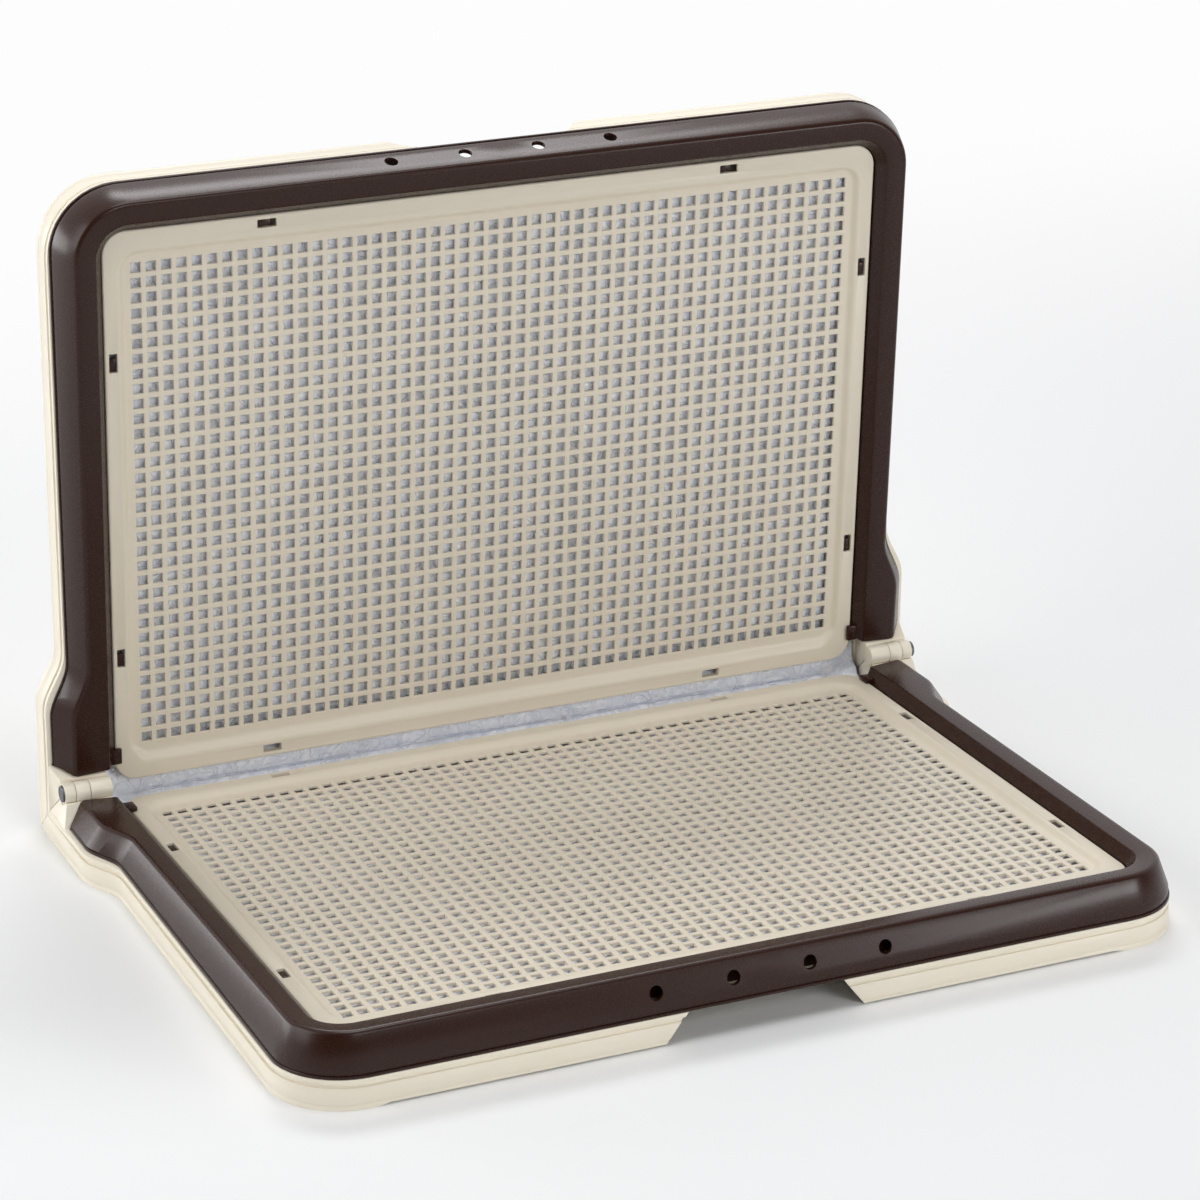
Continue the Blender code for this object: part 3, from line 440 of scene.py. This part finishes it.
def grille_sheet():
    """Upper skin of the grille: net, flat border, slope up to the raised rim, and its outer skirt."""
    net = hole_net()
    join(net, [slope_ring()])
    edit(net, "EDGE")
    pick(lambda e: is_open(e, FIELD_TOP) and not inside_field(e), "EDGE")
    bpy.ops.mesh.fill(use_beauty=True)
    leave_edit()
    rim = rounded_plate("rim", GRILLE_SIDE, GRILLE_REAR, GRILLE_FRONT, GRILLE_CORNER, RIM_TOP, 10)
    outlines = join(rim, slot_plates())
    edit(outlines, "FACE")
    bpy.ops.mesh.select_all(action="SELECT")
    bpy.ops.mesh.delete(type="ONLY_FACE")
    leave_edit()
    join(net, [outlines])
    edit(net, "EDGE")
    pick(lambda e: is_open(e, RIM_TOP), "EDGE")
    bpy.ops.mesh.fill(use_beauty=True)
    pick(lambda e: is_open(e, RIM_TOP) and on_rim_edge(e), "EDGE")
    bpy.ops.mesh.extrude_region_move(TRANSFORM_OT_translate={"value": (0, 0, GRILLE_BOTTOM - RIM_TOP)})
    pick(lambda e: is_open(e, RIM_TOP) and not on_rim_edge(e) and beside_hinge(e.verts[0].co.y), "EDGE")
    bpy.ops.mesh.extrude_region_move(TRANSFORM_OT_translate={"value": (0, 0, -SLOT_WALL)})
    bpy.ops.mesh.select_all(action="SELECT")
    bpy.ops.mesh.remove_doubles(threshold=0.01 * MM)
    bpy.ops.mesh.normals_make_consistent(inside=False)
    face_up()
    leave_edit()
    return net


def at_height(edge, *heights):
    """True for an edge whose ends both lie at one of the given heights."""
    return all(any(abs(v.co.z - height) < 0.02 * MM for height in heights) for v in edge.verts)


def is_open(edge, height):
    """True for an edge at one height that has fewer than two faces."""
    return len(edge.link_faces) < 2 and at_height(edge, height)


def is_fold(edge, degrees):
    return len(edge.link_faces) == 2 and edge.calc_face_angle(0) > math.radians(degrees)


def inside_field(edge):
    """True for an edge of one of the net's holes."""
    middle = (edge.verts[0].co + edge.verts[1].co) / 2
    room = 0.1 * MM
    return abs(middle.x) < FIELD_HALF.x - room and FIELD_REAR + room < middle.y < FIELD_FRONT - room


def on_rim_edge(edge):
    """True for an edge on the grille's outer line, which the slots keep clear of."""
    middle = (edge.verts[0].co + edge.verts[1].co) / 2
    reach = min(GRILLE_SIDE - abs(middle.x), middle.y - GRILLE_REAR, GRILLE_FRONT - middle.y)
    corner = (abs(middle.x) > GRILLE_SIDE - GRILLE_CORNER
              and not 9 * MM < middle.y < GRILLE_FRONT - GRILLE_CORNER)
    return reach < 1.5 * MM or corner


def beside_hinge(v):
    """True for the slots next to the hinge, which no clip reaches into."""
    return v < 5 * MM


def slot_places():
    """Middle and half size of the eight clip slots round the rim: x, v, half x, half v."""
    places = []
    for side in (1, -1):
        for v in (FIELD_MIDDLE - SLOT_AWAY, FIELD_MIDDLE + SLOT_AWAY):
            places.append((side * SLOT_SIDE, v, SLOT_HALF_WIDTH, SLOT_HALF_LENGTH))
        for v in (SLOT_REAR, SLOT_FRONT):
            places.append((side * SLOT_ACROSS, v, SLOT_HALF_LENGTH, SLOT_HALF_WIDTH))
    return places


def slot_plates():
    """The clip slots as flat plates."""
    plates = []
    for x, v, half_x, half_v in slot_places():
        plate = rounded_plate("slot", half_x, v - half_v, v + half_v, 0.4 * MM, RIM_TOP, 2)
        move_mesh(plate, Matrix.Translation((x, 0, 0)))
        plates.append(plate)
    return plates


def grille_form():
    """The whole grille, lying in its own tilted plane."""
    grille = grille_sheet()
    edit(grille, "EDGE")
    pick(lambda e: is_fold(e, 60) and at_height(e, RIM_TOP) and on_rim_edge(e), "EDGE")
    bpy.ops.mesh.bevel(offset=RIM_ROUND, segments=4)
    leave_edit()
    modify(grille, "SOLIDIFY", thickness=GRILLE_SHEET, offset=-1, use_even_offset=False)
    edit(grille, "EDGE")
    pick(lambda e: is_fold(e, 60) and at_height(e, FIELD_TOP, RIM_TOP), "EDGE")
    bpy.ops.mesh.bevel(offset=HOLE_ROUND, segments=2)
    leave_edit()
    return grille


def make_grilles(material):
    form = grille_form()
    for half, place in HALVES.items():
        grille = copy_of(form, f"{half}_grille_net")
        move_mesh(grille, place @ Matrix.Rotation(TILT, 4, "X"))
        finish_piece(grille, f"{half}_cover", [f"{half}_grille"], material)
    remove(form)


# Frame

def shoulder_share(v):
    """One beside the hinge, zero on the straight run, with a smooth S between."""
    share = min(max((SHOULDER_FAR - v) / (SHOULDER_FAR - SHOULDER_NEAR), 0), 1)
    return share * share * (3 - 2 * share)


def level(height, v):
    """Height w of the plane that lies the given height out of the tilted closing plane."""
    return height / math.cos(TILT) + v * math.tan(TILT)


def round_edge(middle, top, radius, first, last, steps):
    """Points of a rounded edge, from one angle to another."""
    turns = [math.radians(first + (last - first) * step / steps) for step in range(steps + 1)]
    return [(middle + radius * math.cos(turn), top - radius * (1 - math.sin(turn))) for turn in turns]


def frame_section():
    """Points of the rail's section, over the crest from the outer to the inner foot: part, x, height."""
    foot = [(FLANGE_SIDE, FOOT), (FLANGE_SIDE, FLANGE_TOP - FLANGE_CHAMFER),
            (FLANGE_SIDE - FLANGE_CHAMFER, FLANGE_TOP), (WALL_FOOT + FLANGE_CHAMFER, FLANGE_TOP)]
    outer = [(WALL_FOOT, FLANGE_TOP + 0.2 * MM)] + round_edge(CREST_MIDDLE, CREST, CREST_ROUND, 30, 90, 6)
    inner = round_edge(LIP_MIDDLE, LIP, LIP_ROUND, 90, 162, 5) + INNER_WALL
    parts = {"foot": foot, "outer": outer, "inner": inner}
    return [(part, x, w) for part, points in parts.items() for x, w in points]


def mark(rail, part):
    """Put the selected points in the vertex group of one part of the section, and in no other."""
    for group in rail.vertex_groups:
        rail.vertex_groups.active_index = group.index
        if group.name == part:
            bpy.ops.object.vertex_group_assign()
        else:
            bpy.ops.object.vertex_group_remove_from()


def frame_rail():
    """Half of the U-shaped rail, drawn as a section that is pushed along its path."""
    rail = start("rail", bpy.ops.mesh.primitive_plane_add, (1, 1, 1), (0, 0, 0), size=1)
    for part in ("foot", "outer", "inner"):
        rail.vertex_groups.new(name=part)
    edit(rail)
    pick(lambda v: v.index > 0)
    bpy.ops.mesh.delete(type="VERT")
    pick(lambda v: True)
    form = bmesh.from_edit_mesh(rail.data)
    form.verts.ensure_lookup_table()
    at = form.verts[0].co.copy()
    section = frame_section()
    for index, (part, x, w) in enumerate(section):
        if index == 0:
            bpy.ops.transform.translate(value=Vector((x, 0, w)) - at)
        else:
            step = (x - section[index - 1][1], 0, w - section[index - 1][2])
            bpy.ops.mesh.extrude_region_move(TRANSFORM_OT_translate={"value": step})
        mark(rail, part)
    bpy.ops.mesh.select_all(action="SELECT")
    shoulder = [SHOULDER_NEAR + (SHOULDER_FAR - SHOULDER_NEAR) * step / 12 for step in range(13)]
    stops = [8.5 * MM] + shoulder + [FRAME_BEND - 4 * MM, FRAME_BEND]
    bpy.ops.transform.translate(value=(0, stops[0], 0))
    for near, far in zip(stops, stops[1:]):
        bpy.ops.mesh.extrude_region_move(TRANSFORM_OT_translate={"value": (0, far - near, 0)})
    centre = (FRAME_SIDE - FRAME_CORNER, FRAME_BEND, 0)
    bpy.ops.mesh.spin(steps=16, angle=-math.pi / 2, center=centre, axis=(0, 0, 1))
    for step in (4 * MM, centre[0] - 4 * MM):
        bpy.ops.mesh.extrude_region_move(TRANSFORM_OT_translate={"value": (-step, 0, 0)})
    leave_edit()
    return rail


def frame_point(part, x, v, w, end, lean):
    """Place of a rail point once the front, the ends, the shoulder and the rise have their shape."""
    drop = (CREST - w) / (CREST - FOOT)
    if v > FRAME_BEND:
        wall_share = CREST_FRONT_SHARE + (WALL_FRONT_SHARE - CREST_FRONT_SHARE) * drop
        share = {"inner": INNER_FRONT_SHARE, "outer": wall_share, "foot": FOOT_FRONT_SHARE}[part]
        v = FRAME_BEND + (v - FRAME_BEND) * share
    if v < 9 * MM:
        v = end + lean * (CREST - w) / (CREST - GRILLE_BOTTOM)
    if part == "foot":
        x += FOOT_SHOULDER * shoulder_share(v)
    elif part == "outer":
        x += (CREST_SHOULDER + (WALL_SHOULDER - CREST_SHOULDER) * drop) * shoulder_share(v)
    if part != "foot":
        low_band = part == "outer" and w < FOOT + 2 * MM
        w = level(w, (BAND_RISE_SHARE if low_band else 1) * v)
    return x, v, w


def frame_form(end, lean):
    """The whole frame without its holes: rail shaped, mirrored, given its end caps and wall."""
    rail = frame_rail()
    parts = {group.index: group.name for group in rail.vertex_groups}
    for vertex in rail.data.vertices:
        vertex.co = frame_point(parts[vertex.groups[0].group], *vertex.co, end, lean)
    rail.vertex_groups.clear()
    modify(rail, "MIRROR", use_axis=(True, False, False), use_clip=True, merge_threshold=0.01 * MM)
    for side in (1, -1):
        edit(rail, "EDGE")
        pick(lambda e: e.is_boundary and all(p.co.y < 12 * MM and p.co.x * side > 0 for p in e.verts), "EDGE")
        bpy.ops.mesh.edge_face_add()
        leave_edit()
    edit(rail, "EDGE")
    bpy.ops.mesh.select_all(action="SELECT")
    bpy.ops.mesh.normals_make_consistent(inside=False)
    face_up()
    pick(lambda e: is_fold(e, 50) and max(p.co.y for p in e.verts) < 12 * MM, "EDGE")
    bpy.ops.mesh.bevel(offset=FRAME_END_ROUND, segments=4)
    leave_edit()
    modify(rail, "SOLIDIFY", thickness=FRAME_WALL, offset=-1, use_even_offset=False)
    return rail


def peep_cutter(shift):
    """Rods for the four round holes through the front wall."""
    height = level(-2.7 * MM, FRAME_FRONT - 5.1 * MM) - PEEP_DROP
    rods = []
    for index in range(PEEP_COUNT):
        place = ((index - 1.5) * PEEP_PITCH + shift, FRAME_FRONT - 4 * MM, height)
        rods.append(start("hole", bpy.ops.mesh.primitive_cylinder_add, (1, 1, 1), place, vertices=40,
                          radius=PEEP_RADIUS, depth=12 * MM, rotation=(math.pi / 2, 0, 0)))
    return join(rods[0], rods[1:])


def catches():
    """Blocks that hold the grille: one over each corner beside the hinge, and a clip in six slots."""
    shapes = [((side * GRILLE_SIDE, CORNER_CATCH_PLACE, RIM_TOP + CORNER_CATCH_RISE), CORNER_CATCH)
              for side in (1, -1)]
    for x, v, half_x, half_v in slot_places():
        if beside_hinge(v):
            continue
        along = Vector((1, 0)) if half_x > half_v else Vector((0, 1))
        size = Vector((2 * half_x - CLIP_ROOM, 2 * half_v - CLIP_ROOM)) - CLIP_SHORT * along
        middle = Vector((x, v)) - CLIP_SHIFT * along
        shapes.append(((middle.x, middle.y, RIM_TOP - CLIP_DROP), (size.x, size.y, CLIP_HEIGHT)))
    blocks = []
    for place, size in shapes:
        block = start("catch", bpy.ops.mesh.primitive_cube_add, size, place, size=1)
        edit(block, "EDGE")
        bpy.ops.mesh.select_all(action="SELECT")
        bpy.ops.mesh.bevel(offset=CATCH_ROUND, segments=2)
        leave_edit()
        move_mesh(block, Matrix.Rotation(TILT, 4, "X"))
        blocks.append(block)
    return blocks


def peep_shade_plate():
    """Brown plate behind the lower frame's holes only: painted shade that keeps them dark."""
    return start("shade_plate_piece", bpy.ops.mesh.primitive_cube_add, PEEP_SHADE_PLATE,
                 (0, FRAME_FRONT - PEEP_SHADE_PLATE_BACK, PEEP_SHADE_PLATE_MIDDLE), size=1)


def make_frames(material):
    for half, place in HALVES.items():
        rail = frame_form(*FRAME_ENDS[half])
        rail.name = f"{half}_frame_rail"
        holes = peep_cutter(PEEP_SHIFT[half])
        modify(rail, "BOOLEAN", operation="DIFFERENCE", solver="EXACT", use_self=True, object=holes)
        remove(holes)
        # the lower frame alone also gets the brown plate that paints shade into its peep holes
        join(rail, catches() + ([peep_shade_plate()] if half == "lower" else []))
        move_mesh(rail, place)
        finish_piece(rail, f"{half}_cover", [f"{half}_frame"], material)


# Base

def base_form(half):
    """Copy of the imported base, merged, with soft moulded edges and a fine line round its skirt."""
    base = copy_of(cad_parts[f"{half}_base"], f"{half}_base_shell")
    base.parent = None
    base.matrix_world = Matrix.Identity(4)
    edit(base)
    bpy.ops.mesh.select_all(action="SELECT")
    bpy.ops.mesh.remove_doubles(threshold=0.001 * MM)
    bpy.ops.mesh.dissolve_limited(angle_limit=math.radians(0.5))
    leave_edit()
    modify(base, "BEVEL", width=BASE_ROUND, segments=2, limit_method="ANGLE", angle_limit=math.radians(32))
    out = HALVES[half].to_3x3() @ Vector((0, 0, 1))
    line = HALVES[half] @ Vector((0, 0, LINE_RISE - AXIS.z))
    edit(base)
    for offset in (-LINE_HALF_WIDTH, 0, LINE_HALF_WIDTH):
        bpy.ops.mesh.select_all(action="SELECT")
        bpy.ops.mesh.bisect(plane_co=line + out * offset, plane_no=out)
    pick(lambda v: abs((v.co - line).dot(out)) < 0.02 * MM)
    bpy.ops.transform.shrink_fatten(value=-LINE_DEPTH)
    leave_edit()
    return base


def make_bases(material):
    for half in HALVES:
        base = base_form(half)
        finish_piece(base, f"{half}_tray", [f"{half}_base"], material)


# Pad

def pad_line(length):
    """Point and outward normal on the pad's middle, in the lower half's v and w, for a length along it."""
    start_v = BEND_CENTRE * (math.cos(TILT) + math.sin(TILT))
    radius = BEND_CENTRE * (math.cos(TILT) - math.sin(TILT)) - PAD_MIDDLE
    leg = PAD_END - start_v
    arc = radius * (math.pi / 2 + 2 * TILT)
    mirrored = length > leg + arc / 2
    if mirrored:
        length = 2 * leg + arc - length
    if length < leg:
        s = PAD_END - length
        point = (s * math.cos(TILT) - PAD_MIDDLE * math.sin(TILT),
                 s * math.sin(TILT) + PAD_MIDDLE * math.cos(TILT))
        normal = (-math.sin(TILT), math.cos(TILT))
    else:
        angle = -math.pi / 2 + TILT - (length - leg) / radius
        normal = (-math.cos(angle), -math.sin(angle))
        point = (BEND_CENTRE + radius * math.cos(angle), BEND_CENTRE + radius * math.sin(angle))
    if mirrored:
        point, normal = point[::-1], normal[::-1]
    return point, normal


def bell(distance, width):
    return math.exp(-(distance / width) ** 2)


def pad_dip(x, length):
    """How far the pad's face lies below its fullest height: fold creases, quilting and soft wrinkles."""
    from_fold = abs(length - FOLD)
    dip = 0
    for line in CREASES_AWAY:
        dip += 1.3 * MM * bell(x - line - 1.5 * MM * math.sin(length * 70), 2.8 * MM)
    for line in CREASES_ALONG:
        dip += 1.2 * MM * bell(length - line - 2 * MM * math.sin(x * 60), 3 * MM)
    dip += 2.2 * MM * bell(length - FOLD - 1.6 * MM - 0.6 * MM * math.sin(x * 45), 0.9 * MM)
    hidden = max(abs(x) - NET_SIDE, min(from_fold - BARE_HALF, FIRST_ROW_END - from_fold), 0)
    dip += 2.4 * MM * min(hidden / (3 * MM), 1)          # it sinks where no net presses it flat
    if 1.6 * MM < length - FOLD < 20 * MM:               # rough just above the fold's crease
        dip += 0.35 * MM * (1 + noise.noise(Vector((x * 500, length * 500, 9.0))))
    if from_fold > BARE_HALF:
        dip += 0.4 * MM
    cloud = noise.noise(Vector((x * 60, length * 60, 0.3)))
    wrinkle = abs(noise.noise(Vector((x * 28, length * 11, 4.0))))
    dip += 0.45 * MM * (cloud + 0.6) + 0.9 * MM * max(0, 0.18 - wrinkle) / 0.18
    return min(max(dip, 0), 2.3 * MM)


def pad_stops():
    """Lengths along the pad at which it has a row of points, closer together at the fold."""
    stops = [PAD_LENGTH * row / PAD_ROWS for row in range(PAD_ROWS + 1)]
    stops = sorted(stops + [FOLD + step * 0.6 * MM for step in range(-30, 31) if step])
    return [near for near, far in zip(stops, stops[1:] + [1]) if far - near > 0.2 * MM]


def pad_rows(form, skin):
    """One face of the pad, upper (1) or lower (-1): its rows of points, from the front edge to the top."""
    rows = []
    for length in pad_stops():
        point, normal = pad_line(length)
        row = []
        for column in range(PAD_COLUMNS + 1):
            x = -PAD_SIDE + 2 * PAD_SIDE * column / PAD_COLUMNS
            edge = min(PAD_SIDE - abs(x), length, PAD_LENGTH - length)
            thinning = 0.8 * PAD_HALF * (1 - math.sqrt(max(0, 1 - (1 - min(edge / (3 * MM), 1)) ** 2)))
            bulge = bell(length - FOLD, 8 * MM) * (2.2 * MM + 3.5 * MM * bell(abs(x) - PAD_SIDE, 9 * MM))
            out = PAD_HALF - thinning
            if skin > 0 and edge > 0:
                out -= min(pad_dip(x, length), 2 * PAD_HALF - thinning - 0.6 * MM)
            out = skin * out + bulge
            row.append(form.verts.new((x, point[0] + normal[0] * out, point[1] + normal[1] * out)))
        rows.append(row)
    for near, far in zip(rows, rows[1:]):
        for column in range(PAD_COLUMNS):
            form.faces.new((near[column], near[column + 1], far[column + 1], far[column]))
    return rows


def outline(rows):
    """The points round the edge of a face, in order."""
    return rows[0] + [row[-1] for row in rows[1:]] + rows[-1][-2::-1] + [row[0] for row in rows[-2:0:-1]]


def make_pad(material):
    """One sheet that lies under both grilles and turns up at the hinge."""
    form = bmesh.new()
    upper, lower = (outline(pad_rows(form, skin)) for skin in (1, -1))
    for i in range(len(upper)):
        j = (i + 1) % len(upper)
        form.faces.new((upper[i], upper[j], lower[j], lower[i]))
    bmesh.ops.recalc_face_normals(form, faces=form.faces)
    mesh = bpy.data.meshes.new("absorbent_pad")
    form.to_mesh(mesh)
    form.free()
    pad = bpy.data.objects.new("absorbent_pad", mesh)
    bpy.context.scene.collection.objects.link(pad)
    move_mesh(pad, HALVES["lower"])
    smooth(pad, 60)
    wear(pad, material)
    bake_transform(pad, "lower_tray", "upper_tray", start=(0, 0.1505, 0.0130), end=(0, 0.1605, 0.0235))
    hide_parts("lower_pad", "upper_pad", "pad_bend")


# Pins

def make_pins(material):
    for end, seat in PIN_SEATS.items():
        pin = start(f"{end}_hinge_pin_turned", bpy.ops.mesh.primitive_cylinder_add, (1, 1, 1),
                    (0, 0, PIN_HEAD_LENGTH / 2), vertices=48, radius=PIN_HEAD_RADIUS, depth=PIN_HEAD_LENGTH)
        edit(pin, "FACE")
        pick(lambda f: f.normal.z > 0.9, "FACE")
        for width, depth in ((0.7, 0), (0.3, -0.35), (1.2, 0.1)):     # rim, step down, raised middle
            bpy.ops.mesh.inset(thickness=width * MM, depth=depth * MM)
        pick(lambda f: f.normal.z < -0.9, "FACE")
        bpy.ops.mesh.inset(thickness=1.9 * MM)
        bpy.ops.mesh.extrude_region_move(TRANSFORM_OT_translate={"value": (0, 0, -PIN_SHANK)})
        pick(lambda e: is_fold(e, 50) and e.verts[0].co.xy.length > PIN_HEAD_RADIUS - 0.1 * MM, "EDGE")
        bpy.ops.mesh.bevel(offset=0.35 * MM, segments=3)
        leave_edit()
        turn = Matrix.Rotation(math.copysign(math.pi / 2, seat), 4, "Y")
        move_mesh(pin, Matrix.Translation((seat, AXIS.y, AXIS.z)) @ turn)
        finish_piece(pin, "lower_tray", [f"{end}_hinge_pin"], material)


# Studio

def paper_sweep(material):
    """Floor that curves up behind the tray."""
    floor = start("paper_sweep", bpy.ops.mesh.primitive_plane_add, (1, 1, 1), (0, 0.5, 0), size=7)
    edit(floor, "EDGE")
    pick(lambda e: all(v.co.y > 3.9 for v in e.verts), "EDGE")
    bpy.ops.mesh.extrude_region_move(TRANSFORM_OT_translate={"value": (0, 0, 3.5)})
    pick(lambda e: all(v.co.y > 3.9 and v.co.z < 0.1 for v in e.verts), "EDGE")
    bpy.ops.mesh.bevel(offset=1.2, segments=16)
    leave_edit()
    smooth(floor, 60)
    wear(floor, material)


def lamp(name, place, aim, size, power):
    """Soft box that faces a point."""
    data = bpy.data.lights.new(name, "AREA")
    data.shape = "RECTANGLE"
    data.size, data.size_y = size
    data.energy = power
    item = bpy.data.objects.new(name, data)
    bpy.context.scene.collection.objects.link(item)
    item.location = place
    item.rotation_euler = (Vector(aim) - Vector(place)).to_track_quat("-Z", "Y").to_euler()


def studio():
    world = bpy.data.worlds.new("studio")
    bpy.context.scene.world = world
    world.use_nodes = True
    tree = world.node_tree
    place = add(tree, "ShaderNodeTexCoord", {})
    split = add(tree, "ShaderNodeSeparateXYZ", {}, {0: (place, "Generated")})
    room = add(tree, "ShaderNodeMapRange", {"From Min": -0.6, "From Max": 0.2, "To Min": 0.1, "To Max": 0.98},
               {"Value": (split, 1)})                     # white behind the tray, pale grey in front of it
    strength = add(tree, "ShaderNodeMix", {"data_type": "FLOAT", 2: 0.14},
                   {0: (direct(tree), 0), 3: (room, 0)})
    tree.nodes["Background"].inputs["Color"].default_value = (1, 1, 1, 1)
    tree.links.new(strength.outputs[0], tree.nodes["Background"].inputs["Strength"])
    lamp("top_box", (0.1, -0.2, 2.1), (0, 0, 0.1), (0.9, 0.9), 14)
    lamp("back_box", (0.4, 1.15, 1.85), (0, 0.15, 0.3), (1.1, 0.5), 15)
    lamp("left_box", (-2.0, 0.1, 1.0), (0, 0, 0.15), (1.3, 1.3), 16)
    lamp("left_back_box", (-1.7, 1.4, 0.35), (-0.2, 0, 0.1), (1.2, 0.6), 12)
    lamp("front_box", (0.3, -2.7, 1.7), (0, 0, 0.15), (1.2, 1.0), 20)
    lamp("right_box", (1.4, -2.0, 0.34), (0, 0, 0.1), (0.55, 0.5), 12)
    bpy.context.scene.view_settings.view_transform = "Standard"


photo_camera()
cream = moulded_plastic("polypropylene_cream_satin", "#F3EBDA", "#EFE6D3", 0.38, 0.5, 0.6, 0.003)
grille_cream = moulded_plastic("polypropylene_grille_satin", "#E2D9C8", "#DED4C1", 0.36, 0.5, 0.6, 0.003)
brown = moulded_plastic("polypropylene_brown_semigloss", "#30170E", "#2B140C", 0.27, 0.30, 0.6, 0.003)
make_grilles(grille_cream)
make_frames(brown)
make_bases(cream)
make_pad(pad_fabric())
make_pins(pin_steel())
paper_sweep(studio_white())
studio()
